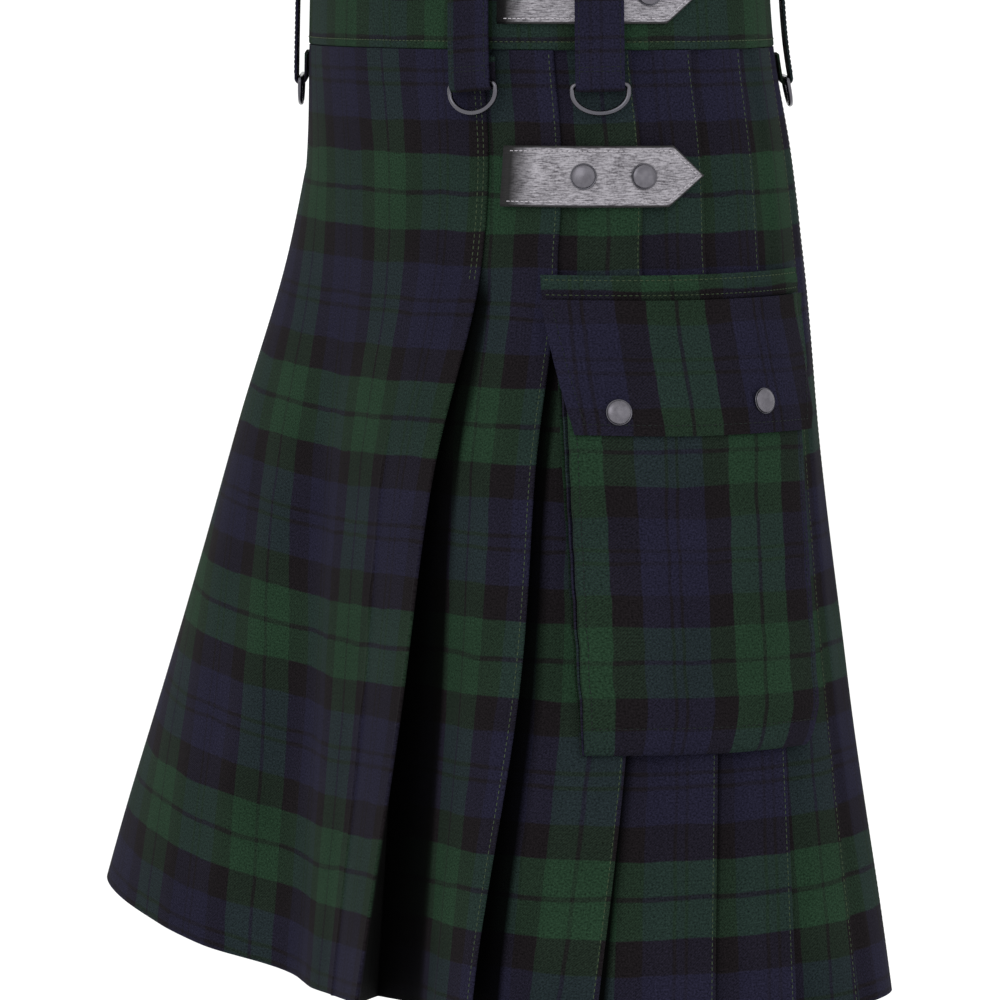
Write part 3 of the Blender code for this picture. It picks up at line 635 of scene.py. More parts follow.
def apron_side(rows, far, face_columns, under_columns):
    """One part of the apron, from its centre line over its edge to half way under it, as
    (around, out, across, recess)."""
    tip = fold_places(rows, far)[:, 0]
    top = fold_top(rows, 0, far)
    face = even(np.zeros(len(rows)), tip - FOLD_RADIUS, face_columns)
    level = apron_out(rows[:, None], -face if far else face)
    arc_around, arc_out = arc(tip - FOLD_RADIUS, top - FOLD_RADIUS, 1)
    middle = tip - APRON_UNDER / 2 + SEAM_GAP / 2
    under = even(tip - FOLD_RADIUS, middle, under_columns + 1)[:, 1:]
    turned = tip[:, None] + np.linspace(0, APRON_TURN, ARC_POINTS)
    # Painted shade under the apron's edge, deepening away from it.
    shade = np.clip((tip[:, None] - under) / SHADE_FADE + TURN_SHADE[-1], 0, 1)
    return (
        np.hstack([face, arc_around, under]),
        np.hstack([level, arc_out, under_layer(rows, under, 0, far)]),
        np.hstack([face, turned, 2 * tip[:, None] - under]),
        np.hstack([0 * face, 0 * arc_around, shade]),
    )


def apron_track(rows, near_columns, far_columns, under_columns):
    """The apron across its face and round both its edges to half way under them."""
    near = apron_side(rows, False, near_columns, under_columns)
    far = apron_side(rows, True, far_columns, under_columns)
    around, out, across, recess = (
        np.hstack([sign * part[:, :0:-1], other])
        for sign, part, other in zip((-1, 1, -1, 1), far, near)
    )
    tip = fold_places(rows)[:, :1]
    return around, out, APRON_PHASE + (across - tip) / COLUMN_SETT, recess


def centre_track(rows, columns, under_columns):
    """The back's middle, from half way under the last near fold to half way under the far one."""
    near, far = (
        half_track(rows, last, last, 2, under_columns, side, columns)
        for side, last in ((False, len(NEAR_PLEATS) - 1), (True, len(FAR_PLEATS) - 1))
    )
    whole = 2 * half_round(rows)[:, None]
    around = np.hstack([near[0], whole - far[0][:, -2::-1]])
    out = np.hstack([near[1], far[1][:, -2::-1]])
    seam = near[2][:, -1:] + far[2][:, -1:]
    recess = np.hstack([near[3], far[3][:, -2::-1]])
    return around, out, np.hstack([near[2], seam - far[2][:, -2::-1]]), recess


def cloth_piece(node, rows, track, mirror=1, raise_out=None):
    """A skirt piece hung from the waistband, from its track with the creases added. Its flat
    size is its path's length along the hem and its drop."""
    around, out, cut, recess = track
    if mirror < 0:
        around, out, cut, recess = (sign * part[:, ::-1] for sign, part in zip((-1, 1, 1, 1), track))
    down = np.broadcast_to(rows[:, None], around.shape)
    out = out + creases(down, around)
    if raise_out is not None:
        out = out + raise_out(down, around)
    points, _ = on_cloth(down, around, out)
    setts = np.stack([cut, (down - ROW_GREEN) / ROW_SETT], -1)
    weave = np.stack([cut * COLUMN_SETT, down], -1)
    made = shell(f"{node}_cloth", points, CLOTH, setts, weave, look("wool"))
    # Painted shade is stored on each point of both faces and darkens the wool's colour.
    depth = made.data.attributes.new("recess", "FLOAT", "POINT")
    depth.data.foreach_set("value", np.tile(recess.ravel(), 2).astype(np.float32))
    place(made, [node], "tartan_wool")


def place(made, nodes, slot, body=KILT):
    """The piece rides on its body, and its CAD nodes are hidden."""
    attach(made, body)
    if nodes:
        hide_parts(*nodes)
    return made


# Materials


def add_node(tree, kind, inputs=None, **settings):
    """A shader node with its settings, its inputs set to values or linked from sockets."""
    made = tree.nodes.new(kind)
    for key, value in settings.items():
        setattr(made, key, value)
    for key, value in (inputs or {}).items():
        socket = made.inputs[key]
        if isinstance(value, bpy.types.NodeSocket):
            tree.links.new(value, socket)
        else:
            socket.default_value = value
    return made


def new_material(name, **shader_values):
    """A material with a Principled shader whose constant sockets are set directly."""
    made = bpy.data.materials.new(name)
    made.use_nodes = True
    tree = made.node_tree
    shader = tree.nodes["Principled BSDF"]
    for key, value in shader_values.items():
        shader.inputs[key.replace("_", " ")].default_value = value
    return made, tree, shader


def link(tree, found, shader, key):
    """Carries a found value or colour into one of the shader's inputs."""
    tree.links.new(found, shader.inputs[key])


def math_node(tree, operation, a, b=0.0, c=0.0):
    return add_node(tree, "ShaderNodeMath", {0: a, 1: b, 2: c}, operation=operation).outputs[0]


def vector_math(tree, operation, a, b, c=(0.0, 0.0, 0.0)):
    inputs = {0: a, 1: b, 2: c}
    return add_node(tree, "ShaderNodeVectorMath", inputs, operation=operation).outputs[0]


def uv_map(tree, name):
    return add_node(tree, "ShaderNodeUVMap", uv_map=name).outputs["UV"]


def noise(tree, at, scale, detail=2.0, roughness=0.5, output="Fac"):
    inputs = {"Vector": at, "Scale": scale, "Detail": detail, "Roughness": roughness}
    return add_node(tree, "ShaderNodeTexNoise", inputs).outputs[output]


def spread(tree, value, low, high, to_low, to_high=1.0):
    """The range from low to high carried onto another one, and held at its ends."""
    inputs = {"Value": value, "From Min": low, "From Max": high, "To Min": to_low, "To Max": to_high}
    return add_node(tree, "ShaderNodeMapRange", inputs).outputs[0]


def toned(tree, value, colour):
    """A colour with its brightness multiplied by the value."""
    return add_node(tree, "ShaderNodeHueSaturation", {"Value": value, "Color": colour}).outputs[0]


def two_tones(tree, position, low, high):
    """A ramp between two (position, hex code) pairs."""
    ramp = add_node(tree, "ShaderNodeValToRGB", {"Fac": position})
    for element, (at, code) in zip(ramp.color_ramp.elements, (low, high)):
        element.position, element.color = at, (*linear_colour(code), 1)
    return ramp.outputs["Color"]


def bump(tree, shader, height, strength, distance):
    """Tilts the shader's normal by a height that is a share of the distance."""
    inputs = {"Height": height, "Strength": strength, "Distance": distance}
    link(tree, add_node(tree, "ShaderNodeBump", inputs).outputs[0], shader, "Normal")


def sett_ramp(tree, position, stripes):
    """The stripes of half a sett, as (start, colour) pairs from the green's centre."""
    ramp = add_node(tree, "ShaderNodeValToRGB", {"Fac": position})
    edge = 0.006
    stops = [(0.0, stripes[0][1])]
    for (start, colour), (_, before) in zip(stripes[1:], stripes):
        stops += [(start - edge, before), (start + edge, colour)]
    elements = ramp.color_ramp.elements
    for element, (at, colour) in zip(elements, (stops[0], stops[-1])):
        element.position, element.color = at, (*colour, 1)
    for at, colour in stops[1:-1]:
        elements.new(at).color = (*colour, 1)
    return ramp.outputs["Color"]


def tartan_wool(name, colours):
    """Wool twill, woven and lightly milled: a dark tartan whose crossings mix warp and weft
    along the twill's diagonal ribs, with a short nap that catches light at grazing angles. Its
    colour is darkened by painted shade beside and under the skirt's folds."""
    made, tree, shader = new_material(
        name, Roughness=0.9, Sheen_Weight=0.008, Sheen_Roughness=0.4, Specular_IOR_Level=0.03
    )
    green, blue, black = (linear_colour(getattr(colours, n)) for n in ("green", "blue", "black"))
    green_line, blue_line = (
        tuple(0.8 * b + 0.2 * c for b, c in zip(black, ground)) for ground in (green, blue)
    )
    stripes = (
        *((0.0, green_line), (0.022, green), (0.33, black)),
        *((0.63, blue), (0.922, blue_line), (0.958, blue)),
    )
    weave = uv_map(tree, "weave")
    sway = vector_math(tree, "SUBTRACT", noise(tree, weave, 26.0, output="Color"), (0.5, 0.5, 0.5))
    swayed = vector_math(tree, "MULTIPLY_ADD", sway, (0.035, 0.035, 0.0), uv_map(tree, "sett"))
    parts = add_node(tree, "ShaderNodeSeparateXYZ", {0: swayed})
    yarns = []
    for axis in ("X", "Y"):
        folded = math_node(tree, "PINGPONG", parts.outputs[axis], 0.5)
        yarns.append(sett_ramp(tree, math_node(tree, "MULTIPLY", folded, 2.0), stripes))
    threads = vector_math(tree, "MULTIPLY", weave, (1 / THREAD,) * 3)
    thread = add_node(tree, "ShaderNodeSeparateXYZ", {0: threads})
    diagonal = math_node(tree, "ADD", thread.outputs["X"], thread.outputs["Y"])
    rib = math_node(tree, "SINE", math_node(tree, "MULTIPLY", diagonal, math.pi / 2))
    mixed = {"Factor": spread(tree, rib, -1.0, 1.0, 0.42, 0.80), 6: yarns[0], 7: yarns[1]}
    crossing = add_node(tree, "ShaderNodeMix", mixed, data_type="RGBA").outputs[2]
    heather = noise(tree, weave, 900.0, detail=3.0, roughness=0.65)
    wear = noise(tree, weave, 14.0, detail=3.0, roughness=0.6)
    flecked = math_node(tree, "MULTIPLY_ADD", heather, 3.2, -0.6)
    worn = math_node(tree, "MULTIPLY_ADD", wear, 0.5, 0.75)
    # Painted shade from the pieces darkens the colour to a twentieth where it is whole.
    recess = add_node(tree, "ShaderNodeAttribute", attribute_name="recess").outputs["Fac"]
    unlit = spread(tree, recess, 0.0, 1.0, 1.0, 0.05)
    shade = math_node(tree, "MULTIPLY", math_node(tree, "MULTIPLY", flecked, worn), unlit)
    link(tree, toned(tree, shade, crossing), shader, "Base Color")
    bump(tree, shader, math_node(tree, "MULTIPLY_ADD", rib, 0.35, heather), 0.55, 0.00025)
    return made


def painted_reflection_leather(name, colours):
    """Black grained cowhide whose silver-grey tone is painted reflection of the studio light: fine
    strokes lie across the grain on the slant, broken by flecks; the cut edges are dyed dark, and
    the end behind the seam is painted dark as the shade where it goes under."""
    made, tree, shader = new_material(name, Specular_IOR_Level=0.2)
    weave = uv_map(tree, "weave")
    slant = {"Vector": weave, "Rotation": (0.0, 0.0, 0.62), "Scale": (210.0, 1200.0, 1.0)}
    across = add_node(tree, "ShaderNodeMapping", slant).outputs[0]
    strokes = noise(tree, across, 1.0, detail=3.0)
    flecks = noise(tree, weave, 900.0, detail=3.0, roughness=0.7)
    clouds = noise(tree, weave, 70.0)
    tone = math_node(tree, "ADD", strokes, math_node(tree, "MULTIPLY", flecks, 0.6))
    tone = math_node(tree, "ADD", tone, math_node(tree, "MULTIPLY", clouds, 0.4))
    half = math_node(tree, "MULTIPLY", tone, 0.5)
    # The pale tone is painted reflection of the light on the black grain; the dark tone is the leather's
    # own black.
    colour = two_tones(tree, half, (0.39, colours.leather_worn), (0.58, colours.leather))
    rim = add_node(tree, "ShaderNodeSeparateXYZ", {0: uv_map(tree, "sett")})
    # Painted shade: the strap is near black up to 6 mm along, rising to full by 21 mm, where it goes
    # under the apron's edge.
    painted_root_shade = spread(tree, rim.outputs["X"], 0.006, 0.021, 0.02)
    uncut = spread(tree, rim.outputs["Y"], 0.0009, 0.0014, 0.06)
    shade = math_node(tree, "MULTIPLY", painted_root_shade, uncut)
    link(tree, toned(tree, shade, colour), shader, "Base Color")
    link(tree, spread(tree, strokes, 0.3, 0.7, 0.52, 0.34), shader, "Roughness")
    bump(tree, shader, tone, 0.5, 0.0003)
    return made


def plated(name, worn, bright, low, high, grain):
    """A cast part plated and tumbled: smooth, with a faint brighter haze where it has rubbed."""
    made, tree, shader = new_material(name, Metallic=1.0)
    haze = noise(tree, add_node(tree, "ShaderNodeTexCoord").outputs["Object"], grain)
    link(tree, two_tones(tree, haze, (0.35, worn), (0.75, bright)), shader, "Base Color")
    link(tree, spread(tree, haze, 0.3, 0.7, low, high), shader, "Roughness")
    return made


def sewing_thread(name, code):
    """Spun polyester thread: matt, twisted, with a soft highlight along each stitch."""
    made, tree, shader = new_material(name, Roughness=0.75, Sheen_Weight=0.02, Specular_IOR_Level=0.1)
    fuzz = noise(tree, add_node(tree, "ShaderNodeTexCoord").outputs["Object"], 900.0)
    fuzzy = toned(tree, spread(tree, fuzz, 0.3, 0.7, 0.7, 1.2), (*linear_colour(code), 1))
    link(tree, fuzzy, shader, "Base Color")
    return made


LOOKS = {
    "wool": ("tartan_wool_twill_milled", tartan_wool),
    # Black leather whose silver-grey is painted reflection of the light.
    "leather": ("leather_rubbed_silver", painted_reflection_leather),
    # Snap caps: gunmetal plating that looks like soft grey pewter.
    "metal": (
        "zinc_gunmetal_plated",
        lambda name, c: plated(name, c.metal, c.metal_worn, 0.30, 0.38, 300.0),
    ),
    # Rings and snap seats: black nickel on steel, dark with thin bright lights. On the snaps the
    #     seat's dark rim also stands for the shade round each cap: painted shade.
    "dark_metal": (
        "steel_black_nickel",
        lambda name, c: plated(name, c.dark_metal, c.metal, 0.20, 0.28, 40.0),
    ),
    "thread": ("thread_spun_polyester_olive", lambda name, c: sewing_thread(name, c.thread)),
    "dark_thread": ("thread_spun_polyester_grey", lambda name, c: sewing_thread(name, c.dark_thread)),
    "pale_thread": ("thread_spun_polyester_pale", lambda name, c: sewing_thread(name, c.pale_thread)),
}


def look(key):
    """A material of the kilt, made on its first use from the colours in the scene."""
    name, make = LOOKS[key]
    return bpy.data.materials.get(name) or make(name, bpy.context.scene.kilt_colours)


# Stitching


def lengths_along(points):
    """Distance along a path at each of its points."""
    return np.concatenate([[0], np.cumsum(np.linalg.norm(np.diff(points, axis=0), axis=1))])


def stitches(name, lines, thread, slot="tartan_wool", pitch=STITCH_PITCH):
    """Rows of stitches in one mesh: short spindles with two five-sided rings and pointed ends,
    spaced evenly along each line of points and normals and laid on its surface."""
    angle = np.arange(5) / 5 * 2 * math.pi
    ring = np.stack([np.zeros(5), np.cos(angle), np.sin(angle)], -1) * STITCH_RADIUS
    reach = STITCH_LENGTH / 2
    end, shoulder = np.array([[reach, 0.0, 0.0]]), [reach * 0.6, 0.0, 0.0]
    low = [0.0, 0.0, STITCH_RADIUS]
    template = np.concatenate([-end - low, ring - shoulder, ring + shoulder, end - low])
    pairs = [(k, (k + 1) % 5) for k in range(5)]
    triangles = [(0, 1 + b, 1 + a) for a, b in pairs] + [(11, 6 + a, 6 + b) for a, b in pairs]
    triangles += [(1 + a, 1 + b, 6 + b) for a, b in pairs]
    triangles += [(1 + a, 6 + b, 6 + a) for a, b in pairs]
    places, tangents, ups = [], [], []
    for points, normals in lines:
        lengths = lengths_along(points)
        count = max(1, int(lengths[-1] / pitch))
        at = (np.arange(count) + 0.5) / count * lengths[-1]

        def read(values, where):
            return np.stack([np.interp(where, lengths, values[:, k]) for k in range(3)], -1)

        places.append(read(points, at))
        tangents.append(read(points, at + reach) - read(points, at - reach))
        ups.append(read(normals, at))
    centre, tangent, up = (np.concatenate(v) for v in (places, tangents, ups))
    tangent = unit(tangent)
    side = unit(np.cross(up, tangent))
    axes = np.stack([tangent, side, np.cross(tangent, side)], axis=1)
    vertices = centre[:, None] + template @ axes
    faces = (np.arange(len(centre)) * len(template))[:, None, None] + np.array(triangles)
    made = mesh_object(name, vertices.reshape(-1, 3), faces.reshape(-1, 3), {}, look(thread), 80.0)
    place(made, (), slot)


# Pieces


def waistband_profile():
    """(down, out) round the band's section: a flat tube with rounded top and bottom edges."""
    radius = BAND / 2
    low, high = SEAM_GAP * 2, SEAM_GAP * 2 + BAND
    turn = np.radians(np.linspace(-90, 90, 7))
    cap = radius * np.stack([np.cos(turn), -np.sin(turn)], -1)
    middle = (low + high) / 2
    face = np.linspace(radius, BAND_HEIGHT - radius, 12)[1:-1]
    outer = np.stack([face, np.full(10, high)], -1)
    inner = np.stack([face[::-1], np.full(10, low)], -1)
    return np.concatenate([[radius, middle] - cap, outer, [BAND_HEIGHT - radius, middle] + cap, inner])


def build_waistband():
    """The band's section carried round the waist, with a row of stitches near each edge."""
    profile = waistband_profile()
    share = np.linspace(0, 1, 361)
    down = np.vstack([profile, profile[:1]])[:, :1]
    points, _ = on_cloth(down[:-1], (share * 2 * half_round(down[:-1]))[:, :-1], profile[:, 1:])
    flat_around = share * 2 * half_round(0.03) + 0 * down
    setts, weave = flat_maps(down, flat_around, BAND_PHASE, rows_from=BAND_ROWS_FROM)
    made = ring_mesh("band_cloth", points, look("wool"), maps={"sett": setts, "weave": weave})
    place(made, ["waistband"], "tartan_wool")
    seam = SEAM_GAP * 2 + BAND + STITCH_RADIUS / 2
    around = np.linspace(0, 2 * half_round(0.05), 900)
    stitches("band_stitching", [on_cloth(d, around, seam) for d in BAND_STITCHES], "thread")


def build_apron():
    """The front apron, with two rows of stitches beside each edge down to the fell."""
    rows = np.linspace(BAND_HEIGHT + SEAM_GAP, LENGTH, 170)
    cloth_piece("apron", rows, apron_track(rows, 70, 130, 8), 1, pressed)
    down = np.linspace(BAND_HEIGHT + 0.002, FELL + 0.018, 60)
    lines = []
    for side, edge in ((1, "near"), (-1, "far")):
        for inset in APRON_INSETS:
            around = side * (section_column(edge, down) - inset)
            out = apron_out(down, around) + creases(down, around)
            lines.append(on_cloth(down, around, out + CLOTH / 2))
    stitches("apron_stitching", lines, "thread")


def build_pleats():
    """The pleated sides and back, with a row of stitches down each pleat's edge."""
    for name, far, count, first, last, face, under in (
        ("pleats_left", False, 150, 0, NEAR_SIDE, 34, 10),
        ("pleats_right", True, 110, 0, FAR_SIDE, 26, 8),
        ("pleats_back_left", False, 110, NEAR_SIDE, len(NEAR_PLEATS) - 1, 24, 7),
        ("pleats_back_right", True, 110, FAR_SIDE, len(FAR_PLEATS) - 1, 26, 7),
        ("pleats_back_centre", None, 110, 0, 0, 26, 7),
    ):
        rows = np.linspace(BAND_HEIGHT + SEAM_GAP, LENGTH, count)
        if far is None:
            track = centre_track(rows, face, under)
        else:
            track = half_track(rows, first, last, face, under, far)
        cloth_piece(name, rows, track, -1 if far else 1)
    down = np.linspace(BAND_HEIGHT + 0.002, LENGTH - 0.004, 150)
    lines = []
    for far, side in ((False, 1), (True, -1)):
        for k in range(1, len(pleats_of(far))):
            around = fold_places(down, far)[:, k] - PLEAT_INSET
            out = face_out(down[:, None], around[:, None], k, far)[:, 0]
            out = out + creases(down, side * around)
            lines.append(on_cloth(down, side * around, out + CLOTH / 2))
    stitches("pleat_edge_stitching", lines, "thread")


def ring_frame(side, degrees):
    """A ring's origin at the middle of its bar, and its axes along the bar and down."""
    lower = BAR_DOWN + RING_DEPTH
    origin, normal = on_cloth(BAR_DOWN, round_at(BAR_DOWN, side, degrees), BAR_OUT)
    below, _ = on_cloth(lower, round_at(lower, side, degrees), BAR_OUT)
    down = unit(below - origin)
    return origin, unit(np.cross(normal, down)), down


def loop_path():
    """(down, out) along a loop: up from the band, over the belt's room, round the bar and back."""
    seat = SEAM_GAP * 3 + BAND + LOOP_THICK / 2
    turn = WIRE + WIRE_PLAY + LOOP_THICK / 2
    root = np.array([(down, seat + rise) for down, rise in LOOP_ROOT])
    rise = np.linspace(0, 1, 6)[1:]
    bend = root[-1] + ([LOOP_FLAT[0], LOOP_OUT] - root[-1]) * np.stack(
        [rise, np.sin(math.pi / 2 * rise)], -1
    )
    flat = np.stack([np.linspace(LOOP_FLAT[0], BAR_DOWN, 26)[1:-1], np.full(24, LOOP_OUT)], -1)
    angle = np.radians(np.linspace(90, -90, 15))
    fold = [BAR_DOWN, BAR_OUT] + turn * np.stack([np.cos(angle), np.sin(angle)], -1)
    back = np.stack([np.linspace(BAR_DOWN, LOOP_END, 7)[1:], np.full(6, BAR_OUT - turn)], -1)
    return np.concatenate([root, bend, flat, fold, back])


def build_loops():
    """Belt loops, each a cloth strip carried flat along its path, thinner at its sides by an
    eighth power of the place across."""
    path = loop_path()
    along = lengths_along(path)
    offset = np.linspace(-LOOP_WIDTH / 2, LOOP_WIDTH / 2, 13)
    thick = LOOP_THICK * (1 - 0.45 * (np.abs(offset) / (LOOP_WIDTH / 2)) ** 8)
    weave = np.stack(np.broadcast_arrays(offset[None], along[:, None]), -1)
    lines = []
    for number, (name, side, degrees) in enumerate(LOOP_PLACES):
        _, bar, _ = ring_frame(side, degrees)
        rounds = np.array([round_at(d, side, degrees) for d in path[:, 0]])
        spine, spine_normal = on_cloth(path[:, 0], rounds, path[:, 1])
        if np.dot(np.cross(spine[20] - spine[10], bar), spine_normal[15]) < 0:
            bar = -bar
        points = spine[:, None] + offset[None, :, None] * bar
        phase, green = LOOP_PHASES[number % 2]
        setts = (weave - [0, green]) / [COLUMN_SETT, ROW_SETT] + [phase, 0]
        made = shell(f"loop_{name}_cloth", points, thick, setts, weave, look("wool"))
        place(made, [f"loop_{name}"], "tartan_wool")
        normals = grid_normals(points)
        seams = points + normals * LOOP_THICK * 0.45
        front = slice(10, 32)
        lines += [(seams[front, column], normals[front, column]) for column in (1, 11)]
        lines += [(seams[row, 1:-1], normals[row, 1:-1]) for row in (28, 29)]
    stitches("loop_stitching", lines, "dark_thread", pitch=LOOP_PITCH)


def build_rings():
    """D-rings of round wire: a circle carried along a straight bar and a half ellipse."""
    angle = np.radians(np.linspace(0, 180, 41))
    size = [RING_HALF_WIDTH, RING_DEPTH - RING_CHEEK]
    bow = [0, RING_CHEEK] + size * np.stack([np.cos(angle), np.sin(angle)], -1)
    turn = np.radians(np.linspace(180, 270, 7))
    left = RING_CORNER * (1 + np.stack([np.cos(turn), np.sin(turn)], -1)) - [RING_HALF_WIDTH, 0]
    right = left[::-1] * [-1, 1]
    straight = np.stack([np.linspace(left[-1, 0], right[0, 0], 14)[1:-1], np.zeros(12)], -1)
    outline = np.concatenate([bow, left, straight, right])
    tangent = unit(np.roll(outline, -1, axis=0) - np.roll(outline, 1, axis=0))
    normal = np.stack([tangent[:, 1], -tangent[:, 0]], -1)
    around = (np.arange(14) / 14 * 2 * math.pi)[None, :, None]
    for name, side, degrees in LOOP_PLACES:
        origin, bar, down = ring_frame(side, degrees)
        centre = origin + outline[:, :1] * bar + outline[:, 1:] * down
        sideways = normal[:, :1] * bar + normal[:, 1:] * down
        wire = np.cos(around) * sideways[:, None] + np.sin(around) * np.cross(bar, down)
        points = centre[:, None] + WIRE * wire
        made = ring_mesh(f"ring_{name}_wire", points, look("dark_metal"), 60.0)
        place(made, [f"dring_{name}"], "gunmetal", f"ring_{name}")


def build_straps():
    """Pointed leather straps: a flat grid whose edges thin by a tenth power, its near end tucked
    inwards by a bell."""
    across = np.sin(np.linspace(-math.pi / 2, math.pi / 2, 31))[:, None]
    edge = 1 - 0.55 * np.abs(across) ** 10
    lines = []
    for name, down, start, length, out in STRAPS:
        along = np.linspace(0, length, 96)[None]
        half = STRAP_WIDTH / 2 * np.clip((length - along) / STRAP_POINT, 0.03, 1)
        downs = down + across * half
        level = out + SEAT_GAP + STRAP_THICK / 2
        tuck = 0.0020 * np.exp(-((along / 0.006) ** 2))
        points, normals = on_cloth(downs, start + along, level - tuck)
        ends = 1 - 0.5 * np.exp(-(((length - along) / 0.0012) ** 2))
        weave = np.stack(np.broadcast_arrays(along, downs - down), -1)
        from_edge = np.minimum(half * (1 - np.abs(across)), length - along)
        rim = np.stack(np.broadcast_arrays(along, from_edge), -1)
        thick = STRAP_THICK * edge * ends
        made = shell(f"{name}_leather", points, thick, rim, weave, look("leather"), normals)
        place(made, [name], "grey_leather")
        inner, tip = STRAP_WIDTH / 2 - STRAP_INSET, length - STRAP_INSET * 1.6
        shoulder = length - STRAP_POINT - STRAP_INSET * 0.3
        a = np.concatenate([np.linspace(0.005, shoulder, 60), np.linspace(shoulder, tip, 12)[1:]])
        d = np.interp(a, [0, shoulder, tip], [inner, inner, 0.0005])
        top = level + STRAP_THICK / 2 + STITCH_RADIUS * 0.4
        lines += [on_cloth(down + sign * d, start + a, top) for sign in (1, -1)]
    stitches("strap_stitching", lines, "pale_thread", "grey_leather", STRAP_PITCH)


def cloth_top(down):
    """The level of the pleats' folds, on which the pocket and the straps lie."""
    return fold_top(down, 2) + CLOTH / 2 + SEAT_GAP


def bag_span(down):
    """The bag's face from side to side, along straight lines from its top to its bottom."""
    t = (down - BAG_TOP) / (BAG_BOTTOM - BAG_TOP)
    return [a + (b - a) * t for a, b in zip(BAG_SPAN_TOP, BAG_SPAN_BOTTOM)]


def flap_span(down):
    """The flap from side to side, along straight lines from its top to its bottom."""
    t = (down - FLAP_TOP) / (FLAP_BOTTOM - FLAP_TOP)
    return [a + (b - a) * t for a, b in zip(FLAP_SPAN_TOP, FLAP_SPAN_BOTTOM)]


def bag_height(share):
    """Height of the bag as a share of its depth: share runs -1..0 over the front gusset's
    bellows, 0..1 over the face, 1..2 over the back gusset's."""
    outwards, heights = np.array(GUSSET_FOLDS)[::-1].T
    beside = np.where(share < 0, -share, share - 1)
    folds = np.interp(beside, outwards, heights)
    edge = np.minimum(share, 1 - share)
    face = 0.92 + 0.08 * np.sin(math.pi / 2 * np.clip(edge / 0.14, 0, 1))
    return np.where((share < 0) | (share > 1), folds, face)


def bag_out(down, share):
    """The bag's height over the body: its section's height, rolled in at its foot and drawn in
    at its mouth, on the pleats' level."""
    foot = np.sqrt(np.clip((BAG_BOTTOM - down) / FOOT_ROLL, 0, 1))
    swell = np.interp(down, [BAG_TOP, SWELL_DOWN], [BAG_MOUTH, 1.0])
    return cloth_top(down) + CLOTH / 2 + BAG_DEPTH * bag_height(share) * foot * swell


def bag_around(down, share):
    """Places round from the side line at shares across the bag, its gussets straight out."""
    low, high = bag_span(down)
    inside = low + (high - low) * np.clip(share, 0, 1)
    gusset = np.interp(down, (BAG_TOP, BAG_BOTTOM), GUSSET)
    return inside + gusset * (np.clip(share, -1, 0) + np.clip(share - 1, 0, 1))


def build_pocket():
    """The cargo pocket: its bag, flap and welt."""
    build_bag()
    build_flap()
    build_welt()


def build_bag():
    """The bag: its face and both gussets, which settle onto the skirt's own cloth towards their
    outer edges, with bell-shaped creases on the face."""
    foot = BAG_BOTTOM - BAG_FOOT * np.linspace(1, 0, 26)[1:] ** 2
    rows = np.concatenate([np.linspace(BAG_TOP, BAG_BOTTOM - BAG_FOOT, 60), foot])
    share = np.concatenate([np.linspace(-1, 0, 22), np.linspace(0, 1, 70)[1:], np.linspace(1, 2, 22)[1:]])
    down, share = np.broadcast_arrays(rows[:, None], share[None])
    around, out = bag_around(down, share), bag_out(down, share)
    seated = skirt_out(down, side_round(down) + around) + CLOTH + BAG_SEAT
    outside = np.clip(np.maximum(-share, share - 1), 0, 1)
    settled = np.maximum(seated, out - (cloth_top(down) + CLOTH / 2 - seated))
    out = out + (settled - out) * smooth_step(outside)
    for at, top, bottom, width, height in BAG_CREASES:
        fade = smooth_step((down - top) / 0.03) * smooth_step((bottom - down) / 0.03)
        out = out + height * fade * np.exp(-(((around - at) / width) ** 2)) * (1 - outside)
    points, _ = on_side(down, around, out)
    _, weave = flat_maps(down, around, 0.0)
    across = BAG_CUT * (share - BAG_GREEN) / COLUMN_SETT
    setts = np.stack([(down - BAG_ROW_GREEN) / BAG_ROW_SETT, across], -1)
    made = shell("pocket_bag_cloth", points, CLOTH, setts, weave, look("wool"))
    place(made, ["pocket_bag"], "tartan_wool")
    lines = []
    for d, s in (
        (np.linspace(0.270, BAG_BOTTOM - 0.012, 90), BAG_INSET),
        (np.linspace(0.270, BAG_BOTTOM - 0.012, 90), 1 - BAG_INSET),
        (BAG_BOTTOM - BAG_FOOT_INSET, np.linspace(0.02, 0.98, 70)),
    ):
        lines.append(on_side(d, bag_around(d, s), bag_out(d, s) + CLOTH * 0.6))
    stitches("bag_stitching", lines, "dark_thread")


def flap_out(down, around):
    """The flap's height: the bag's face moved out, falling past the bag's sides to a bridge."""
    at = np.maximum(down, BAG_TOP)
    low, high = bag_span(at)
    share = np.clip((around - low) / (high - low), 0, 1)
    past = np.maximum(np.maximum(low - around, around - high) - FLAP_REACH, 0)
    on_bag = (bag_out(at, share) - cloth_top(at)) * (1 - smooth_step(past / 0.014))
    risen = np.clip((down - FLAP_TOP) / BRIDGE_HEIGHT, RISE_SHARE, 1)
    bridge = BRIDGE_SHARE * BAG_DEPTH * risen
    return cloth_top(down) + np.maximum(on_bag, CLOTH / 2 + bridge) + CLOTH + FLAP_GAP


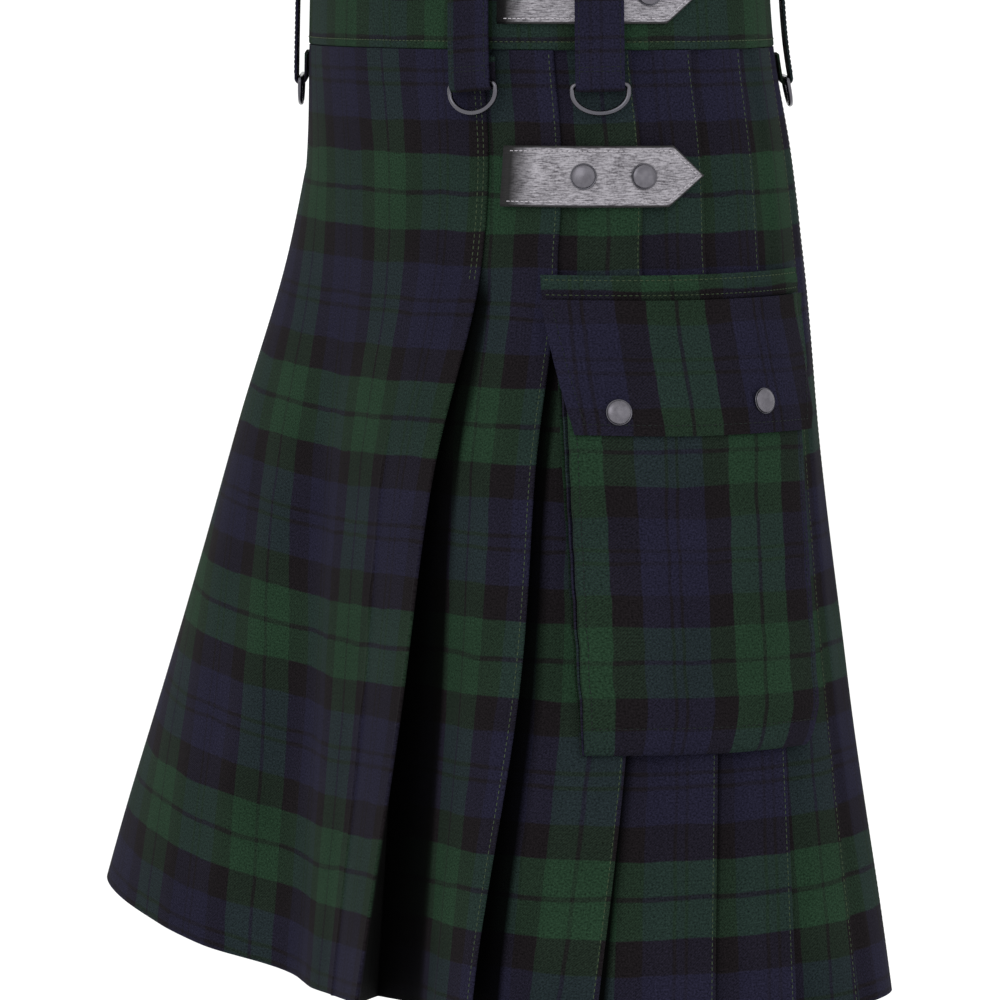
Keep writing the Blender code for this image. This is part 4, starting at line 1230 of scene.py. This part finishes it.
def build_flap():
    """The flap: a sheet over the bag, with a row of stitches inside its sides and its foot."""
    rows = np.linspace(FLAP_TOP, FLAP_BOTTOM, 46)
    down, share = np.broadcast_arrays(rows[:, None], np.linspace(0, 1, 90)[None])
    low, high = flap_span(down)
    around = low + (high - low) * share
    points, _ = on_side(down, around, flap_out(down, around))
    setts, weave = flat_maps(down, around, FLAP_PHASE[0], rows_from=FLAP_PHASE[1])
    made = shell("pocket_flap_cloth", points, CLOTH, setts[..., ::-1], weave, look("wool"))
    place(made, ["pocket_flap"], "tartan_wool")
    foot = FLAP_BOTTOM - FLAP_INSET
    low, high = flap_span(foot)
    paths = [(foot, low + (high - low) * np.linspace(0.03, 0.97, 70))]
    d = np.linspace(FLAP_TOP + 0.004, foot, 60)
    low, high = flap_span(d)
    paths += [(d, low + FLAP_INSET), (d, high - FLAP_INSET)]
    lines = [on_side(d, a, flap_out(d, a) + CLOTH * 0.6) for d, a in paths]
    stitches("flap_stitching", lines, "dark_thread")


def build_welt():
    """The welt: a band that two bell-shaped grooves and its rounded edges make thinner."""
    rows = np.linspace(POCKET_TOP, POCKET_TOP + WELT_HEIGHT, 15)
    low, high = FLAP_SPAN_TOP
    down, around = np.broadcast_arrays(rows[:, None], np.linspace(low, high, 90)[None])
    share = (rows[:, None] - POCKET_TOP) / WELT_HEIGHT
    grooves = sum(np.exp(-(((share - g) / 0.07) ** 2)) for g in WELT_GROOVES)
    thick = BAND * (0.92 - 0.35 * grooves) * (1 - 0.5 * np.abs(2 * share - 1) ** 8)
    points, _ = on_side(down, around, cloth_top(down) + BAND / 2)
    setts, weave = flat_maps(down, around, FLAP_PHASE[0], rows_from=FLAP_PHASE[1])
    made = shell("pocket_welt_cloth", points, thick, setts, weave, look("wool"))
    place(made, ["pocket_welt"], "tartan_wool")
    lines = []
    for d in (POCKET_TOP + WELT_HEIGHT * g for g in WELT_GROOVES):
        height = cloth_top(d) + BAND / 2 + BAND * 0.57 / 2 + STITCH_RADIUS * 0.3
        lines.append(on_side(d, around[0] * 0.98, height))
    stitches("welt_stitching", lines, "thread")


def build_snaps():
    """Snaps: a dark seat and a domed cap on it, both profiles turned about the normal. The
    seat's dark rim round the cap is partly painted shade, standing for the gap round each snap.
    """
    upper, lower = STRAPS
    spots = [
        (name, down, start + along, out + SEAT_GAP + STRAP_THICK)
        for name, (_, down, start, _, out), along in (
            ("snap_upper", upper, SNAP_UPPER_ALONG),
            ("snap_lower_front", lower, SNAP_LOWER_ALONG[0]),
            ("snap_lower_back", lower, SNAP_LOWER_ALONG[1]),
        )
    ]
    for name, down, from_side, over in FLAP_SNAPS:
        seat = float(flap_out(down, np.array(from_side))) + CLOTH / 2 + over
        spots.append((name, down, float(side_round(down)) + from_side, seat))
    turn = (np.arange(48) / 48 * 2 * math.pi)[:, None]
    for name, down, around, seat in spots:
        origin, normal = on_cloth(down, around, seat + SEAM_GAP)
        east = unit(np.cross([0.0, 0.0, 1.0], normal))
        circle = np.cos(turn) * east + np.sin(turn) * np.cross(normal, east)
        # The seat's dark rim round the cap is partly painted shade round each snap.
        for part, shape, finish in (("seat", SNAP_SEAT, "dark_metal"), ("cap", SNAP_CAP, "metal")):
            across, high = (np.array(shape) * [SNAP_RADIUS, SNAP_HEIGHT]).T[:, :, None, None]
            rings = origin + across * circle + high * normal
            made = ring_mesh(f"{name}_{part}", rings, look(finish), 50.0, closed=False)
            place(made, [name], "gunmetal")


# The stage


def build_stage():
    """The floor, the lights and the camera, from the scene's own settings."""
    for build in (build_floor, build_lights, build_camera):
        build(bpy.context.scene.kilt_stage)


def build_floor(stage):
    """A flat pale floor, lit as brightly as the studio behind it."""
    made, _, shader = new_material("paper_seamless_matt", Roughness=0.9)
    shader.inputs["Base Color"].default_value = (*linear_colour("#F6F6F6"), 1)
    corners = np.array([(-1, -1, 0), (1, -1, 0), (1, 1, 0), (-1, 1, 0)]) * FLOOR_REACH
    corners = corners - [0, 0, stage.floor_down]
    mesh_object("studio_floor", corners, np.array([[0, 1, 2, 3]]), {}, made)
    bpy.context.scene.view_settings.view_transform = "Standard"


def area_light(name, azimuth, distance, height, size, power):
    """A square light at a bearing from the front, turned to the skirt's middle."""
    data = bpy.data.lights.new(name, "AREA")
    data.shape, data.size, data.energy = "SQUARE", size, power
    made = bpy.data.objects.new(name, data)
    bpy.context.scene.collection.objects.link(made)
    angle = math.radians(azimuth)
    made.location = (math.sin(angle) * distance, -math.cos(angle) * distance, height)
    towards = Vector(LIT_AT) - made.location
    made.rotation_euler = towards.to_track_quat("-Z", "Y").to_euler()


def build_lights(stage):
    """Soft studio light: a bright sky all round, a key at the camera's left and a weak fill."""
    world = bpy.data.worlds.new("studio")
    world.use_nodes = True
    sky = world.node_tree.nodes["Background"]
    sky.inputs["Color"].default_value = (1, 1, 1, 1)
    sky.inputs["Strength"].default_value = stage.sky
    bpy.context.scene.world = world
    for name, past, distance, height, size in LIGHTS:
        area_light(name, stage.azimuth + past, distance, height, size, getattr(stage, name))


def build_camera(stage):
    """The camera stands level with the waist and looks down at the middle of the skirt."""
    angle = math.radians(stage.azimuth)
    right = Vector((math.cos(angle), math.sin(angle), 0))
    eye = Vector((math.sin(angle), -math.cos(angle), 0)) * stage.distance
    target = right * stage.aim_aside - Vector((0, 0, stage.aim_down))
    data = bpy.data.cameras.new("camera")
    away = (target - eye).length
    data.sensor_width = 36.0
    data.lens = stage.scale * away / 1000 * data.sensor_width
    data.clip_end = 50
    camera = bpy.data.objects.new("camera", data)
    bpy.context.scene.collection.objects.link(camera)
    camera.location = eye
    camera.rotation_euler = (target - eye).to_track_quat("-Z", "Y").to_euler()
    bpy.context.scene.camera = camera


# Add-on classes


def hex_code(name, description, default):
    return StringProperty(name=name, description=description, default=default)


def amount(name, description, default, unit="NONE"):
    return FloatProperty(name=name, description=description, default=default, unit=unit)


class KiltColours(bpy.types.PropertyGroup):
    """Colours of the kilt's materials, as sRGB hex codes."""

    green: hex_code("Green yarn", "The tartan's green", "#1D3022")
    blue: hex_code("Blue yarn", "The tartan's blue", "#1C1B2A")
    black: hex_code("Black yarn", "The tartan's black", "#161315")
    # The leather's pale tone is painted reflection of the light on black grained leather.
    leather: hex_code("Leather", "The coat on the grain", "#9A979D")
    leather_worn: hex_code("Worn leather", "The leather in the creases", "#454247")
    metal: hex_code("Metal", "The plating", "#5E5C62")
    metal_worn: hex_code("Worn metal", "The plating where it has brightened", "#6E6C72")
    thread: hex_code("Thread", "The light topstitching", "#3A4632")
    dark_thread: hex_code("Dark thread", "The other stitching", "#1A1F1E")
    pale_thread: hex_code("Pale thread", "The straps' stitching", "#B4B0B6")
    # On the snaps' seats this dark also stands for the shade round each cap: painted shade.
    dark_metal: hex_code("Dark metal", "The rings and the snaps' seats", "#55555B")


class KiltStage(bpy.types.PropertyGroup):
    """The camera's place, the floor and the lights."""

    azimuth: amount("Azimuth", "The camera's bearing, in degrees from the front", 63.0)
    distance: amount("Distance", "Camera to the kilt's axis", 3.2, "LENGTH")
    scale: amount("Scale", "Picture thousandths for each metre at the aim", 1660.0)
    aim_down: amount("Aim down", "The aim's depth below the waist", 0.328, "LENGTH")
    aim_aside: amount("Aim aside", "The aim's place to the right", -0.0187, "LENGTH")
    floor_down: amount("Floor", "The floor's depth below the waist", 1.05, "LENGTH")
    sky: amount("Sky", "The studio's even light", 1.15)
    key: amount("Key", "The key light", 14.0, "POWER")
    fill: amount("Fill", "The fill light", 6.0, "POWER")
    rim: amount("Top", "The light above and behind", 8.0, "POWER")


class Builds:
    """An operator that runs its own build function."""

    def execute(self, context):
        self.build()
        return {"FINISHED"}


class KILT_OT_waistband(Builds, bpy.types.Operator):
    """Build the waistband"""

    bl_idname, bl_label = "kilt.waistband", "Waistband"
    build = staticmethod(build_waistband)


class KILT_OT_apron(Builds, bpy.types.Operator):
    """Build the front apron and its edge stitching"""

    bl_idname, bl_label = "kilt.apron", "Apron"
    build = staticmethod(build_apron)


class KILT_OT_pleats(Builds, bpy.types.Operator):
    """Build the pleated sides and back"""

    bl_idname, bl_label = "kilt.pleats", "Pleats"
    build = staticmethod(build_pleats)


class KILT_OT_loops(Builds, bpy.types.Operator):
    """Build the belt loops"""

    bl_idname, bl_label = "kilt.loops", "Belt loops"
    build = staticmethod(build_loops)


class KILT_OT_rings(Builds, bpy.types.Operator):
    """Build the D-rings that swing under the loops"""

    bl_idname, bl_label = "kilt.rings", "D-rings"
    build = staticmethod(build_rings)


class KILT_OT_straps(Builds, bpy.types.Operator):
    """Build the leather hip straps"""

    bl_idname, bl_label = "kilt.straps", "Leather straps"
    build = staticmethod(build_straps)


class KILT_OT_pocket(Builds, bpy.types.Operator):
    """Build the cargo pocket: bag, flap and welt"""

    bl_idname, bl_label = "kilt.pocket", "Pocket"
    build = staticmethod(build_pocket)


class KILT_OT_snaps(Builds, bpy.types.Operator):
    """Build the snap caps"""

    bl_idname, bl_label = "kilt.snaps", "Snaps"
    build = staticmethod(build_snaps)


class KILT_OT_stage(Builds, bpy.types.Operator):
    """Build the floor, lights and camera"""

    bl_idname, bl_label = "kilt.stage", "Studio"
    build = staticmethod(build_stage)


OPERATORS = (
    KILT_OT_waistband,
    KILT_OT_apron,
    KILT_OT_pleats,
    KILT_OT_loops,
    KILT_OT_rings,
    KILT_OT_straps,
    KILT_OT_pocket,
    KILT_OT_snaps,
    KILT_OT_stage,
)


class KILT_PT_panel(bpy.types.Panel):
    """The kilt's pieces, colours and studio in the sidebar"""

    bl_label = "Tartan utility kilt"
    bl_idname = "KILT_PT_panel"
    bl_space_type = "VIEW_3D"
    bl_region_type = "UI"
    bl_category = "Kilt"

    def draw(self, context):
        layout = self.layout
        for group in (context.scene.kilt_colours, context.scene.kilt_stage):
            box = layout.box()
            for key in group.__annotations__:
                box.prop(group, key)
        for operator in OPERATORS:
            layout.operator(operator.bl_idname)


def register():
    for made in (KiltColours, KiltStage, *OPERATORS, KILT_PT_panel):
        bpy.utils.register_class(made)
    bpy.types.Scene.kilt_colours = PointerProperty(type=KiltColours)
    bpy.types.Scene.kilt_stage = PointerProperty(type=KiltStage)


def unregister():
    del bpy.types.Scene.kilt_stage
    del bpy.types.Scene.kilt_colours
    for made in reversed((KiltColours, KiltStage, *OPERATORS, KILT_PT_panel)):
        bpy.utils.unregister_class(made)


def main():
    register()
    for operator in OPERATORS:
        group, name = operator.bl_idname.split(".")
        getattr(getattr(bpy.ops, group), name)()


if __name__ == "__main__":
    main()
